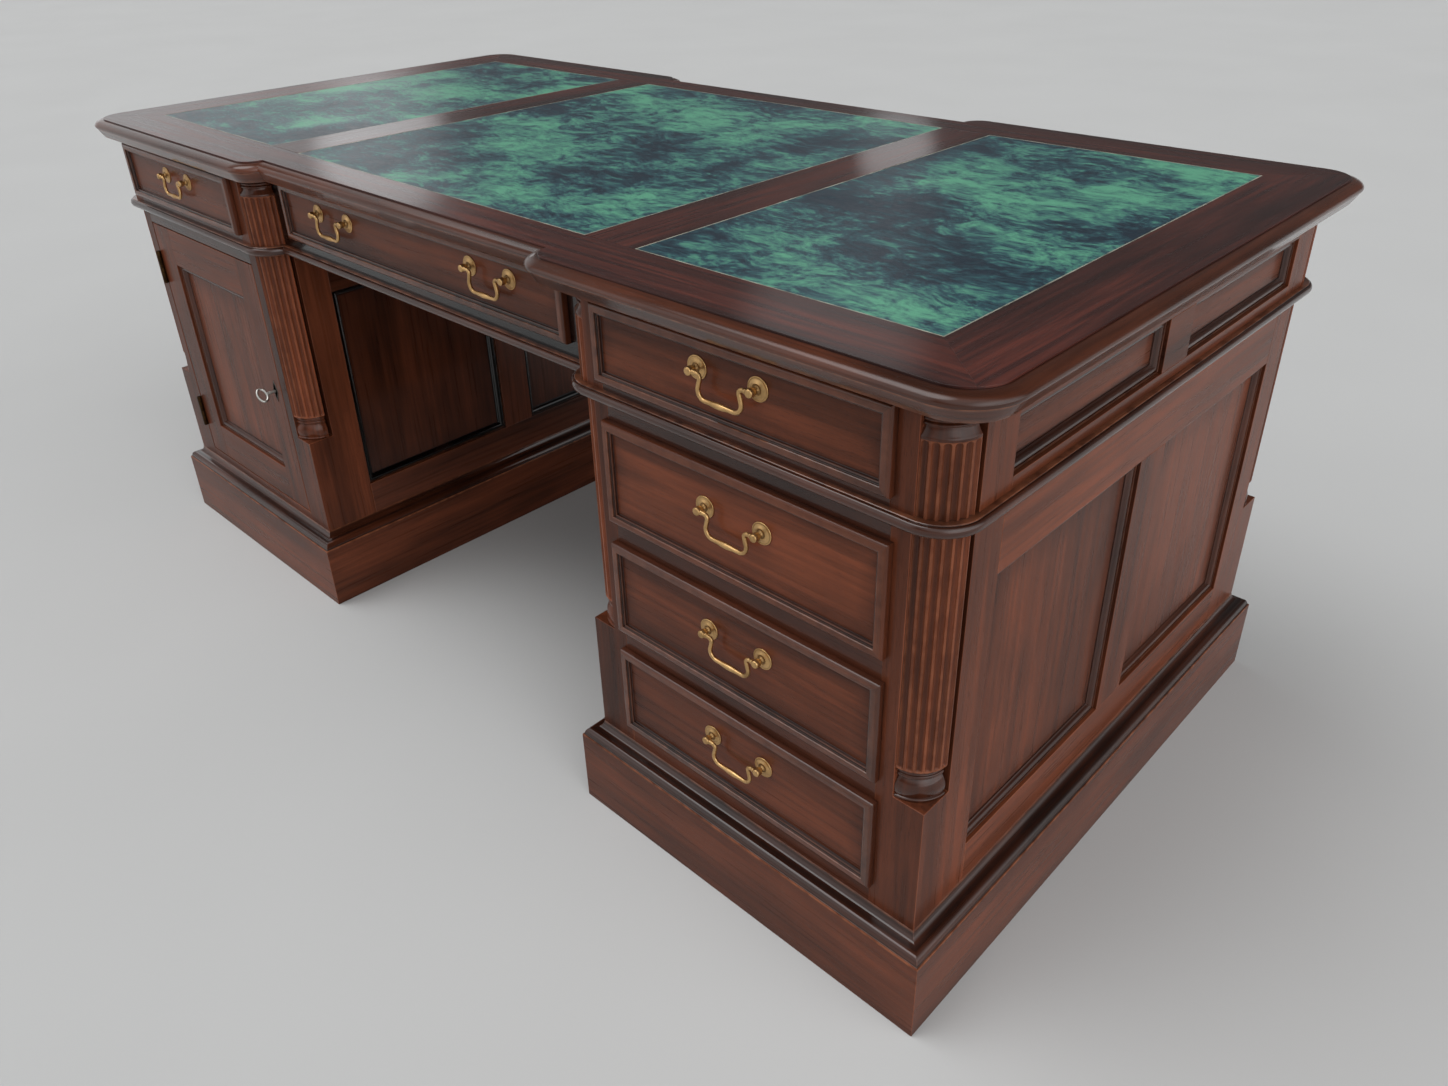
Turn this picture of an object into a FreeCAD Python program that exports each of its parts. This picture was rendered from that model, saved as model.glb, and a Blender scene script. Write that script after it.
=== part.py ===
import FreeCAD, Part
import math
import os
from types import SimpleNamespace

import Sketcher

# A partners desk: two pedestals, a frieze and a breakfront top, fitted alike for a user on each long side.
# Frame: x along the desk, y from front to rear, z up, origin on the floor under the middle of the desk.
# The front user faces +y. The rear fittings are the front ones turned half a turn about z.

Vector = FreeCAD.Vector
UP = Vector(0, 0, 1)
ACROSS = Vector(1, 0, 0)
INWARD = Vector(0, 1, 0)
HALF_TURN = 180

# Driving dimensions in millimetres: name, size, meaning
SIZES = [
    ("base_rail", 167.0, "floor to the lowest drawer opening"),
    ("lower_opening", 117.0, "height of the lowest drawer opening"),
    ("middle_opening", 120.0, "height of the middle drawer opening"),
    ("upper_opening", 123.0, "height of the upper drawer opening"),
    ("drawer_rail", 37.5, "rail between two drawer openings"),
    ("pedestal_head", 27.0, "rail above the upper drawer opening"),
    ("frieze_sill", 30.0, "rail below a side drawer of the frieze"),
    ("frieze_opening", 83.0, "height of a side drawer opening in the frieze"),
    ("frieze_head", 8.0, "rail above the frieze drawers"),
    ("centre_sill", 35.0, "rail below the centre drawer"),
    ("top_thick", 30.0, "thickness of the top"),
    ("knee_hole_width", 734.0, "width between the pedestals"),
    ("opening_width", 384.0, "width of a pedestal's drawer or door opening"),
    ("post_width", 59.75, "pedestal corner post, on the front"),
    ("post_depth", 93.5, "pedestal corner post, on the side"),
    ("pedestal_depth", 849.0, "front to rear of a pedestal"),
    ("frame_thick", 22.0, "thickness of rails, side frames and doors"),
    ("muntin_width", 62.0, "upright between two side panels"),
    ("frieze_overhang", 4.0, "frieze stands out from the pedestals"),
    ("centre_stile", 37.0, "upright beside the centre drawer"),
    ("board_thick", 12.0, "floors of the pedestals and the frieze"),
    ("head_board", 14.0, "board that closes a pedestal's top"),
    ("partition_thick", 16.0, "board between the two users' halves"),
    ("runner_wide", 16.0, "drawer runner"),
    ("runner_tall", 14.0, "drawer runner in a pedestal"),
    ("guide_rise", 26.0, "drawer guide above its runner"),
    ("panel_sill", 191.0, "floor to the side panels"),
    ("panel_head", 80.0, "rail above the side panels"),
    ("end_panel_sill", 27.0, "rail below the frieze end panels"),
    ("end_panel_head", 32.0, "rail above the frieze end panels"),
    ("panel_rim", 4.0, "panel moulding below its frame's face"),
    ("panel_sink", 11.0, "panel field below its frame's face"),
    ("panel_thick", 14.0, "thickness of a panel"),
    ("panel_moulding", 14.0, "width of the moulding round a panel"),
    ("panel_bevel", 5.5, "bevel on the panel moulding"),
    ("plinth_height", 134.0, "height of the skirting"),
    ("plinth_thick", 23.0, "thickness of the skirting"),
    ("plinth_plain", 112.0, "plain face of the skirting"),
    ("plinth_quirk", 2.5, "step in below the skirting's ovolo"),
    ("plinth_round", 9.0, "radius of the skirting's ovolo"),
    ("column_inset", 38.0, "column axis from both faces of its corner"),
    ("column_relief", 1.0, "column surface inside the corner's faces"),
    ("column_slot", 6.0, "gap between a column and the side of its post"),
    ("column_ledge", 306.0, "floor to the ledge under the pedestal columns"),
    ("column_base", 40.0, "height of a pedestal column's turned base"),
    ("column_cap", 28.0, "height of a frieze column's turned cap"),
    ("flute_width", 7.2, "width of a flute"),
    ("flute_depth", 2.8, "depth of a flute"),
    ("waist_height", 14.0, "height of the waist moulding"),
    ("waist_step", 6.0, "waist moulding's top and bottom edges stand out"),
    ("waist_out", 10.5, "waist moulding's bead stands out"),
    ("edge_out", 16.0, "moulded edge stands out from the flat of the top"),
    ("edge_step", 2.2, "step down at the flat's border"),
    ("edge_nose", 11.5, "start of the nose, out from the flat"),
    ("edge_nose_top", 4.2, "start of the nose, below the flat"),
    ("edge_nose_tall", 8.6, "height of the nose"),
    ("edge_nose_flat", 3.6, "height of the nose's outermost face"),
    ("edge_arris", 14.2, "arris under the nose, out from the flat"),
    ("edge_foot", 5.0, "bottom of the fascia, out from the flat"),
    ("over_end", 23.5, "flat of the top past the frieze ends"),
    ("over_front", 11.5, "flat of the top past the frieze front"),
    ("over_centre", 21.5, "flat of the top past the centre of the frieze"),
    ("over_return", 32.0, "flat of the top past the blocks, towards the middle"),
    ("corner_round", 45.0, "radius of the flat's outer corners"),
    ("return_round", 28.0, "radius of the flat's corners beside the middle"),
    ("leather_thick", 1.5, "writing leather"),
    ("leather_fit", 0.2, "leather clear of its recess"),
    ("leather_end", 91.0, "border at the ends of the desk"),
    ("leather_front", 84.0, "border at the front of an end leather"),
    ("leather_inner", 80.5, "border towards the middle"),
    ("leather_gap", 82.5, "border between two leathers"),
    ("leather_centre", 55.0, "border at the front of the middle leather"),
    ("lip", 4.0, "drawer front laps over its opening"),
    ("front_proud", 10.0, "drawer front's crest out from the case"),
    ("front_field", 3.5, "drawer front's field out from the case"),
    ("front_gap", 0.3, "drawer front clear of the case"),
    ("front_inner", 14.0, "drawer front inside the case"),
    ("front_bevel", 4.0, "bevel on a drawer front's outer edge"),
    ("front_crest", 10.0, "drawer front's edge to its inner step"),
    ("front_step", 3.0, "width and depth of the inner step"),
    ("box_gap", 1.5, "drawer clear of its guides"),
    ("box_rise", 0.3, "drawer clear of its runners"),
    ("box_head", 2.0, "drawer clear of the rail above"),
    ("box_side", 10.0, "drawer sides and back"),
    ("box_bottom", 6.0, "drawer bottom, and its height in the sides"),
    ("box_back_gap", 32.5, "drawer clear of the partition"),
    ("handle_spacing", 80.0, "between a handle's posts"),
    ("handle_rise", 12.5, "handle's pivot above the drawer's middle"),
    ("centre_handle", 186.0, "centre drawer's handles from the middle"),
    ("handle_reach", 11.5, "handle's pivot out from the drawer field"),
    ("rosette_radius", 13.0, "handle's rosette"),
    ("rosette_dome", 3.8, "height of the rosette"),
    ("rosette_rim", 0.8, "height of the rosette's rim"),
    ("head_radius", 4.0, "head of a handle's post"),
    ("bail_radius", 2.2, "wire of the bail"),
    ("bail_pin", 1.2, "radius of the bail's pins"),
    ("pin_play", 0.2, "clear space round a bail's pin"),
    ("bail_shoulder", 0.5, "bail clear of the posts' heads"),
    ("neck_run", 5.0, "straight neck beside the post"),
    ("neck_round", 4.5, "bend of the swan neck"),
    ("leg_run", 8.5, "straight leg of the bail"),
    ("bow_round", 10.0, "lower bend of the bail"),
    ("olive_radius", 3.3, "swelling in the middle of the bail"),
    ("olive_half", 6.0, "half length of the swelling"),
    ("door_sill", 150.0, "floor to the door opening"),
    ("door_head", 23.0, "rail above the door opening"),
    ("door_gap", 2.0, "door clear of its opening"),
    ("hinge_gap", 3.0, "door clear of its opening at the hinges"),
    ("door_stile", 60.0, "door's uprights"),
    ("door_rail", 66.0, "door's top and bottom rails"),
    ("hinge_offset", 145.0, "hinges above and below the door's middle"),
    ("hinge_height", 60.0, "height of a hinge"),
    ("hinge_leaf", 1.2, "thickness of a hinge's leaf"),
    ("hinge_width", 22.0, "width of a hinge's leaf"),
    ("knuckle_radius", 3.8, "hinge's knuckle"),
    ("knuckle_gap", 0.3, "knuckle clear of wood and of its neighbour"),
    ("hinge_pin", 1.5, "radius of a hinge's pin"),
    ("hinge_play", 0.05, "clear space round a hinge's pin"),
    ("key_edge", 21.25, "key from the door's free edge"),
    ("key_rise", 2.0, "key above the door's middle"),
    ("key_radius", 2.5, "key's shaft"),
    ("key_play", 0.5, "clear space round the key's shaft"),
    ("key_out", 16.0, "key's shaft out from the door"),
    ("key_bow", 28.0, "length of the key's bow"),
    ("key_bow_reach", 20.0, "width of the key's bow"),
    ("key_wire", 3.6, "wire of the key's bow"),
    ("bit_radius", 9.0, "reach of the key's bit"),
    ("bit_thick", 2.0, "thickness of the key's bit"),
    ("bit_width", 5.0, "width of the key's bit"),
    ("lock_depth", 12.0, "depth of the lock's case"),
    ("lock_width", 42.0, "width of the lock's case"),
    ("lock_below", 13.0, "lock's case below the key"),
    ("lock_wall", 1.2, "wall of the lock's case"),
    ("lock_edge", 2.0, "lock's case from the door's free edge"),
    ("bolt_tall", 11.0, "height of the bolt"),
    ("bolt_thick", 8.0, "thickness of the bolt"),
    ("bolt_length", 34.0, "length of the bolt"),
    ("bolt_gap", 0.5, "bolt clear of the key's bit and of its slots"),
    ("bolt_throw", 9.0, "travel of the bolt"),
    ("mortise_spare", 6.0, "mortise past the end of the shot bolt"),
    ("mortise_fit", 1.5, "mortise clear of the bolt all round"),
    ("escutcheon_width", 15.0, "width of the lozenge round the keyhole"),
    ("escutcheon_height", 40.0, "height of the lozenge"),
    ("escutcheon_thick", 0.8, "thickness of the lozenge"),
]

# Facets of the small round pieces
FLUTES = 6
WIRE_SIDES = 4
BAR_SIDES = 8
BOW_SIDES = 10
BEND_CHORDS = 2
BEND_DEGREES = 105
KEY_DEGREES = 225
CUT_PAST = 1.0
OVERLAP = 10.0

# Turned outlines of the columns: how far inside the column's radius, and the share of the height
BASE_TURNING = [(1.0, 0.0), (0.2, 0.35), (6.0, 0.68), (3.5, 0.76), (5.5, 0.84), (-0.4, 1.0)]
CAP_TURNING = [(-0.4, 0.0), (4.5, 0.4), (3.5, 0.5), (4.0, 0.75), (3.5, 1.0)]


class Dim:
    """A length worked out from the sheet: its value, and the expression that gives it."""

    def __init__(self, value, text):
        self.value = value
        self.text = text

    def __add__(self, other):
        other = dim(other)
        return Dim(self.value + other.value, f"({self.text} + {other.text})")

    def __sub__(self, other):
        other = dim(other)
        return Dim(self.value - other.value, f"({self.text} - {other.text})")

    def __rsub__(self, other):
        return dim(other) - self

    def __mul__(self, factor):
        return Dim(self.value * factor, f"({self.text} * {factor})")

    def __truediv__(self, divisor):
        return Dim(self.value / divisor, f"({self.text} / {divisor})")

    def __neg__(self):
        return Dim(-self.value, f"(0 - {self.text})")


def dim(length):
    """A length as a Dim, also where it is a plain number."""
    if isinstance(length, Dim):
        return length
    return Dim(length, f"({length})")


doc = FreeCAD.newDocument("PartnersDesk")
sheet = doc.addObject("Spreadsheet::Sheet", "Sizes")
for row, (alias, value, meaning) in enumerate(SIZES, start=1):
    sheet.set(f"A{row}", meaning)
    sheet.set(f"B{row}", str(value))
    sheet.setAlias(f"B{row}", alias)
doc.recompute()
s = SimpleNamespace(**{alias: Dim(value, f"Sizes.{alias}") for alias, value, meaning in SIZES})

# Heights, stacked from the floor
lower_head = s.base_rail + s.lower_opening
middle_sill = lower_head + s.drawer_rail
middle_head = middle_sill + s.middle_opening
upper_sill = middle_head + s.drawer_rail
upper_head = upper_sill + s.upper_opening
pedestal_top = upper_head + s.pedestal_head
frieze_low = pedestal_top + s.frieze_sill
frieze_high = frieze_low + s.frieze_opening
frieze_top = frieze_high + s.frieze_head
centre_low = pedestal_top + s.centre_sill
desk_top = frieze_top + s.top_thick
frieze_floor = pedestal_top + s.board_thick

# Widths and depths, from the middle of the desk or of a pedestal
half_opening = s.opening_width / 2
half_pedestal = half_opening + s.post_width
half_block = half_pedestal + s.frieze_overhang
half_knee = s.knee_hole_width / 2
pedestal_x = half_knee + half_pedestal
block_in = pedestal_x - half_block
block_out = pedestal_x + half_block
pedestal_y = s.pedestal_depth / 2
block_y = pedestal_y + s.frieze_overhang
centre_y = block_y - s.column_inset
half_centre = block_in - s.centre_stile
half_muntin = s.muntin_width / 2
half_partition = s.partition_thick / 2
post_back = pedestal_y - s.post_depth
frame_in = half_pedestal - s.frame_thick
block_frame_in = half_block - s.frame_thick
column_radius = s.column_inset - s.column_relief
handle_half = s.handle_spacing / 2


# Helpers

def bind(thing, prop, length):
    """Tie one property of an object to the sheet."""
    thing.setExpression(prop, dim(length).text)


def bind_place(thing, x, y, z):
    """Tie an object's place to the sheet."""
    for axis, length in zip("xyz", (x, y, z)):
        bind(thing, "Placement.Base." + axis, length)


def board(name, x, y, z):
    """A plain board between two places on each axis."""
    box = doc.addObject("Part::Box", name)
    for prop, (low, high) in zip(("Length", "Width", "Height"), (x, y, z)):
        bind(box, prop, dim(high) - low)
    bind_place(box, x[0], y[0], z[0])
    return box


def pair(name, x, y, z):
    """Two boards, one each side of the middle plane."""
    low, high = x
    return [board(name + "Left", (-high, -low), y, z), board(name + "Right", (low, high), y, z)]


def place(member, x=0, y=0, z=0, turn=0):
    """A copy of a piece, turned about the vertical and moved to its place."""
    copy = doc.addObject("Part::Compound", member.Name + "Placed")
    copy.Links = [member]
    copy.Placement = FreeCAD.Placement(Vector(), FreeCAD.Rotation(UP, turn))
    bind_place(copy, x, y, z)
    return copy


def cut(name, base, tool):
    """One piece with the room of another taken out of it."""
    result = doc.addObject("Part::Cut", name)
    result.Base = base
    result.Tool = tool
    return result


def fuse(name, members):
    """Several forms made into one piece."""
    result = doc.addObject("Part::MultiFuse", name)
    result.Shapes = members
    result.Refine = True
    return result


def mirrored(name, member):
    """The other hand of a piece."""
    result = doc.addObject("Part::Mirroring", name)
    result.Source = member
    result.Normal = ACROSS
    return result


def rod(name, radius, height):
    """A round rod that stands on the origin, for what turns about it."""
    result = doc.addObject("Part::Cylinder", name)
    bind(result, "Radius", radius)
    bind(result, "Height", height)
    return result


def bar(name, radius, height):
    """A faceted round bar that stands on the origin."""
    result = doc.addObject("Part::Prism", name)
    result.Polygon = BAR_SIDES
    bind(result, "Circumradius", radius)
    bind(result, "Height", height)
    return result


def bore(name, radius, depth):
    """Room for a round bar of the given radius to turn in."""
    return bar(name, radius / math.cos(math.pi / BAR_SIDES), depth)


def upright(turn):
    """Rotation of a standing sketch: its x runs level at the given angle, its y runs up."""
    return FreeCAD.Rotation(UP, turn).multiply(FreeCAD.Rotation(ACROSS, 90))


def lines(points, closed=True):
    """Straight edges from point to point, each point a pair."""
    corners = [Vector(x, y, 0) for x, y in points]
    ends = corners[1:] + corners[:1] if closed else corners[1:]
    return [Part.LineSegment(a, b) for a, b in zip(corners, ends)]


def corner_arc(centre, radius, start):
    """A quarter arc that runs on anticlockwise from the given angle."""
    angles = [math.radians(start + step) for step in (0, 45, 90)]
    points = [Vector(centre[0] + radius * math.cos(a), centre[1] + radius * math.sin(a), 0) for a in angles]
    return Part.Arc(*points)


def free_sketch(name, geometry, rotation=FreeCAD.Rotation()):
    """A sketch outside a body, drawn from values of the sheet."""
    sketch = doc.addObject("Sketcher::SketchObject", name)
    sketch.Placement = FreeCAD.Placement(Vector(), rotation)
    sketch.addGeometry(geometry, False)
    return sketch


def sweep(name, profile, path):
    """A moulding: a section carried along a path, with mitred corners."""
    result = doc.addObject("Part::Sweep", name)
    result.Sections = [profile]
    result.Spine = (path, [f"Edge{i + 1}" for i in range(path.GeometryCount)])
    result.Solid = True
    result.Frenet = False
    result.Transition = "Right corner"
    return result


def body_sketch(body, name, role, offset=0):
    """A sketch on one of a body's own planes, moved along the plane's normal."""
    sketch = body.newObject("Sketcher::SketchObject", name)
    support = next(f for f in body.Origin.OriginFeatures if f.Role == role)
    sketch.AttachmentSupport = (support, [""])
    sketch.MapMode = "FlatFace"
    bind(sketch, "AttachmentOffset.Base.z", offset)
    return sketch


def rectangle(sketch, x, y):
    """A rectangle whose four sides are tied to the sheet."""
    first = sketch.GeometryCount
    sketch.addGeometry(lines([(0, 0), (1, 0), (1, 1), (0, 1)]), False)
    for side in range(4):
        sketch.addConstraint(Sketcher.Constraint("Coincident", first + side, 2, first + (side + 1) % 4, 1))
        sketch.addConstraint(Sketcher.Constraint("Vertical" if side % 2 else "Horizontal", first + side))
    for name, kind, corner, length in (
        ("left", "DistanceX", 0, x[0]),
        ("bottom", "DistanceY", 0, y[0]),
        ("right", "DistanceX", 2, x[1]),
        ("top", "DistanceY", 2, y[1]),
    ):
        index = sketch.addConstraint(Sketcher.Constraint(kind, -1, 1, first + corner, 1, dim(length).value))
        sketch.renameConstraint(index, name)
        bind(sketch, "Constraints." + name, length)


def feature(body, kind, name, profile, length, reverse=False):
    """A pad or a pocket of a sketch."""
    result = body.newObject("PartDesign::" + kind, name)
    result.Profile = profile
    result.Reversed = reverse
    bind(result, "Length", length)
    return result


def bevel(body, name, base, test, amount, across=None):
    """A bevel on the edges whose ends all pass the test; across is its width where that differs."""
    doc.recompute()
    edges = enumerate(base.Shape.Edges, start=1)
    found = [i for i, edge in edges if all(test(v.Point) for v in edge.Vertexes)]
    result = body.newObject("PartDesign::Chamfer", name)
    result.Base = (base, [f"Edge{i}" for i in found])
    bind(result, "Size", amount)
    if across is not None:
        result.ChamferType = "Two distances"
        bind(result, "Size2", across)
    return result


def near(a, b):
    """Whether two places are the same."""
    return abs(a - b) < 1e-5


nodes = []


def node(label, members, x=0, y=0, z=0, turn=0):
    """A named sub-part of the desk, made of one piece or of several that belong together."""
    group = doc.addObject("Part::Compound", "Node")
    group.Label = label
    group.Links = members
    group.Placement = FreeCAD.Placement(Vector(), FreeCAD.Rotation(UP, turn))
    bind_place(group, x, y, z)
    nodes.append(group)


# Top with its moulded edge

flat_out = block_out + s.over_end
flat_in = block_in - s.over_return
flat_y = block_y + s.over_front
flat_centre_y = centre_y + s.over_centre


def edge_outline(offset, side):
    """The moulded edge from top to bottom, at one side of the top; side is 1 or -1."""
    nose_top = s.edge_nose_top.value
    nose_bottom = nose_top + s.edge_nose_tall.value
    nose_middle = (nose_top + nose_bottom) / 2
    half_flat = s.edge_nose_flat.value / 2
    points = [
        (0, 0),
        (0, s.edge_step.value),
        (s.edge_nose.value, nose_top),
        (s.edge_out.value, nose_middle - half_flat),
        (s.edge_out.value, nose_middle + half_flat),
        (s.edge_arris.value, nose_bottom),
        (s.edge_foot.value, s.top_thick.value),
    ]
    return lines([(side * (offset + out), -down) for out, down in points], False)


def rounded_path(x, y, left_round, right_round):
    """A closed path round a rectangle with rounded corners, from the middle of its front."""
    middle = (x[0] + x[1]) / 2
    left = x[0] + left_round
    right = x[1] - right_round
    runs = [
        [(middle, -y), (right, -y)],
        [(x[1], right_round - y), (x[1], y - right_round)],
        [(right, y), (left, y)],
        [(x[0], y - left_round), (x[0], left_round - y)],
        [(left, -y), (middle, -y)],
    ]
    arcs = [
        corner_arc((right, right_round - y), right_round, -90),
        corner_arc((right, y - right_round), right_round, 0),
        corner_arc((left, y - left_round), left_round, 90),
        corner_arc((left, left_round - y), left_round, 180),
    ]
    path = []
    for run, arc in zip(runs, arcs):
        path += lines(run, closed=False) + [arc]
    return path + lines(runs[-1], closed=False)


def top_frame():
    """The top: two end sections and a set-back middle, with recesses for the leathers."""
    x = (flat_in.value, flat_out.value)
    y = flat_y.value
    path = free_sketch("EndPath", rounded_path(x, y, s.return_round.value, s.corner_round.value))
    bind_place(path, 0, 0, desk_top)
    ring_in = -2 * OVERLAP
    underside = -s.top_thick.value
    border = lines([(s.edge_foot.value, underside), (ring_in, underside), (ring_in, 0), (0, 0)], False)
    section = free_sketch("EndSection", edge_outline(0, 1) + border, upright(-90))
    bind_place(section, (flat_in + flat_out) / 2, -flat_y, desk_top)
    ring = sweep("EndRing", section, path)
    core = board("EndCore", (flat_in + OVERLAP, flat_out - OVERLAP), (OVERLAP - flat_y, flat_y - OVERLAP),
                 (frieze_top, desk_top))
    end = fuse("EndSlab", [ring, core])

    half = flat_centre_y.value
    front = edge_outline(half, 1)
    rear = edge_outline(half, -1)
    foot = half + s.edge_foot.value
    floor = lines([(foot, underside), (-foot, underside)], False)
    roof = lines([(-half, 0), (half, 0)], False)
    profile = free_sketch("MiddleSection", front + floor + rear + roof, upright(-90))
    bind_place(profile, flat_in + OVERLAP, 0, desk_top)
    middle = doc.addObject("Part::Extrusion", "MiddleSlab")
    middle.Base = profile
    middle.DirMode = "Custom"
    middle.Dir = -ACROSS
    middle.Solid = True
    bind(middle, "LengthFwd", (flat_in + OVERLAP) * 2)
    slab = fuse("TopSlab", [end, place(end, turn=HALF_TURN), middle])

    z = (desk_top - s.leather_thick, desk_top + CUT_PAST)
    fit = s.leather_fit
    recesses = [board("Recess", (x0 - fit, x1 + fit), (y0 - fit, y1 + fit), z)
                for (x0, x1), (y0, y1) in leather_places()]
    room = doc.addObject("Part::Compound", "Recesses")
    room.Links = recesses
    node("top_frame", [cut("TopFrame", slab, room)])


def leather_places():
    """Extents of the left, middle and right leathers."""
    inner = flat_in + s.leather_inner
    outer = flat_out - s.leather_end
    end_y = flat_y - s.leather_front
    middle_x = inner - s.leather_gap
    middle_y = flat_centre_y - s.leather_centre
    return [
        ((-outer, -inner), (-end_y, end_y)),
        ((-middle_x, middle_x), (-middle_y, middle_y)),
        ((inner, outer), (-end_y, end_y)),
    ]


def leathers():
    """Three writing leathers, flush with the top."""
    z = (desk_top - s.leather_thick, desk_top)
    node("leather_panels", [board("Leather", x, y, z) for x, y in leather_places()])


# Corner posts and fluted quarter columns

def corner_post(name, width, depth, low, high, notch_low):
    """A post at the front right corner, its outer corner on the origin, notched for a column."""
    post = board(name + "Blank", (-width, 0), (0, depth), (low, high))
    notch = board(name + "Notch", (-s.column_inset, CUT_PAST), (-CUT_PAST, s.column_inset + s.column_slot),
                  (notch_low, high + CUT_PAST))
    return cut(name, post, notch)


def four_corners(post, half, y):
    """A post at each corner of a pedestal or block, two of them of the other hand."""
    other = mirrored(post.Name + "OtherHand", post)
    return [
        place(post, half, -y),
        place(post, -half, y, turn=HALF_TURN),
        place(other, -half, -y),
        place(other, half, y, turn=HALF_TURN),
    ]


def fluted_outline():
    """Section of a quarter column with its flutes."""
    radius = column_radius.value
    pitch = 90 / FLUTES
    half_flute = math.degrees(s.flute_width.value / radius) / 2
    bottom = radius - s.flute_depth.value
    points = [(0, 0), (radius, 0)]
    for flute in range(FLUTES):
        middle = (flute + 0.5) * pitch
        near_bottom = half_flute / 2
        corners = [(-half_flute, radius), (-near_bottom, bottom), (near_bottom, bottom), (half_flute, radius)]
        for turn, reach in corners:
            angle = math.radians(middle + turn)
            points.append((reach * math.cos(angle), reach * math.sin(angle)))
    return points + [(0, radius)]


def turned_outline(drop):
    """Section of a turned member of a quarter column, with a corner at each ridge."""
    radius = column_radius.value - drop
    angles = [math.radians(90 * ridge / FLUTES) for ridge in range(FLUTES + 1)]
    return [(0, 0)] + [(radius * math.cos(a), radius * math.sin(a)) for a in angles]


def column(name, flutes, drops, low, height):
    """A quarter column on the z axis, between +x and +y: a fluted shaft and a turned member."""
    body = doc.addObject("PartDesign::Body", name)
    section = body_sketch(body, name + "Flutes", "XY_Plane", flutes[0])
    section.addGeometry(lines(fluted_outline()), False)
    feature(body, "Pad", name + "Shaft", section, flutes[1] - flutes[0])
    rings = []
    for drop, share in drops:
        ring = body_sketch(body, name + "Ring", "XY_Plane", low + height * share)
        ring.addGeometry(lines(turned_outline(drop)), False)
        rings.append(ring)
    turned = body.newObject("PartDesign::AdditiveLoft", name + "Turned")
    turned.Profile = rings[0]
    turned.Sections = rings[1:]
    turned.Ruled = True
    return body


def columns():
    """Fluted quarter columns at the corners of the pedestals and of the frieze blocks."""
    base_top = s.column_ledge + s.column_base
    cap_low = frieze_top - s.column_cap
    lower = column("PedestalColumn", (base_top, pedestal_top), BASE_TURNING, s.column_ledge, s.column_base)
    upper = column("FriezeColumn", (pedestal_top, cap_low), CAP_TURNING, cap_low, s.column_cap)
    placed = []
    for kind, half, depth in ((lower, half_pedestal, pedestal_y), (upper, half_block, block_y)):
        x = half - s.column_inset
        y = depth - s.column_inset
        for turn, corner_x, corner_y in ((0, x, y), (90, -x, y), (180, -x, -y), (270, x, -y)):
            placed.append(place(kind, corner_x, corner_y, 0, turn))
    group = doc.addObject("Part::Compound", "ColumnSet")
    group.Links = placed
    node("corner_columns", [place(group, pedestal_x), place(group, -pedestal_x, turn=HALF_TURN)])


# Mouldings between frieze and pedestals and round the foot

def waist_section():
    """Section of the waist moulding, out from the frieze and up from its bottom."""
    step = s.waist_step.value
    out = s.waist_out.value
    height = s.waist_height.value
    return [(0, 0), (step, 0), (out, height / 2), (step, height), (0, height)]


def waist_moulding():
    """A bead round each block, broken round its columns, with a straight bar across the middle."""
    radius = s.column_inset.value
    out_x = half_block.value
    out_y = block_y.value
    x = out_x - radius
    y = out_y - radius
    path = [corner_arc((-x, -y), radius, 180)]
    path += lines([(-x, -out_y), (x, -out_y)], False) + [corner_arc((x, -y), radius, -90)]
    path += lines([(out_x, -y), (out_x, y)], False) + [corner_arc((x, y), radius, 0)]
    path += lines([(x, out_y), (-x, out_y)], False) + [corner_arc((-x, y), radius, 90)]
    route = free_sketch("WaistPath", path)
    bind_place(route, pedestal_x, 0, pedestal_top)
    profile = free_sketch("WaistSection", lines(waist_section()), upright(HALF_TURN))
    bind_place(profile, block_in, -centre_y, pedestal_top)
    ring = sweep("WaistRing", profile, route)
    other = place(ring, turn=HALF_TURN)

    bar_section = free_sketch("BarSection", lines(waist_section()), upright(-90))
    bind_place(bar_section, block_in, -centre_y, pedestal_top)
    bar = doc.addObject("Part::Extrusion", "WaistBarBlank")
    bar.Base = bar_section
    bar.DirMode = "Custom"
    bar.Dir = -ACROSS
    bar.Solid = True
    bind(bar, "LengthFwd", block_in * 2)
    rings = doc.addObject("Part::Compound", "WaistRings")
    rings.Links = [ring, other]
    middle = cut("WaistBar", bar, rings)
    node("waist_moulding", [ring, other, middle, place(middle, turn=HALF_TURN)])


def plinths():
    """A skirting mitred round each pedestal, with an ovolo and a cove on its top edge."""
    out = s.plinth_thick.value
    plain = s.plinth_plain.value
    high = s.plinth_height.value
    quirk = out - s.plinth_quirk.value
    radius = s.plinth_round.value
    shoulder = quirk - radius
    rise = plain + radius
    cove_middle = Vector(shoulder * 0.35, rise + (high - rise) * 0.35, 0)
    section = [
        corner_arc((shoulder, plain), radius, 0),
        Part.Arc(Vector(shoulder, rise, 0), cove_middle, Vector(0, high, 0)),
    ]
    section += lines([(0, high), (0, 0), (out, 0), (out, plain), (quirk, plain)], False)
    profile = free_sketch("PlinthSection", section, upright(-90))
    bind_place(profile, -half_pedestal, -pedestal_y, 0)
    x = half_pedestal.value
    y = pedestal_y.value
    path = free_sketch("PlinthPath", lines([(-x, -y), (x, -y), (x, y), (-x, y)]))
    ring = sweep("Plinth", profile, path)
    node("plinths", [place(ring, pedestal_x), place(ring, -pedestal_x, turn=HALF_TURN)])


# Sunk panels

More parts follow.
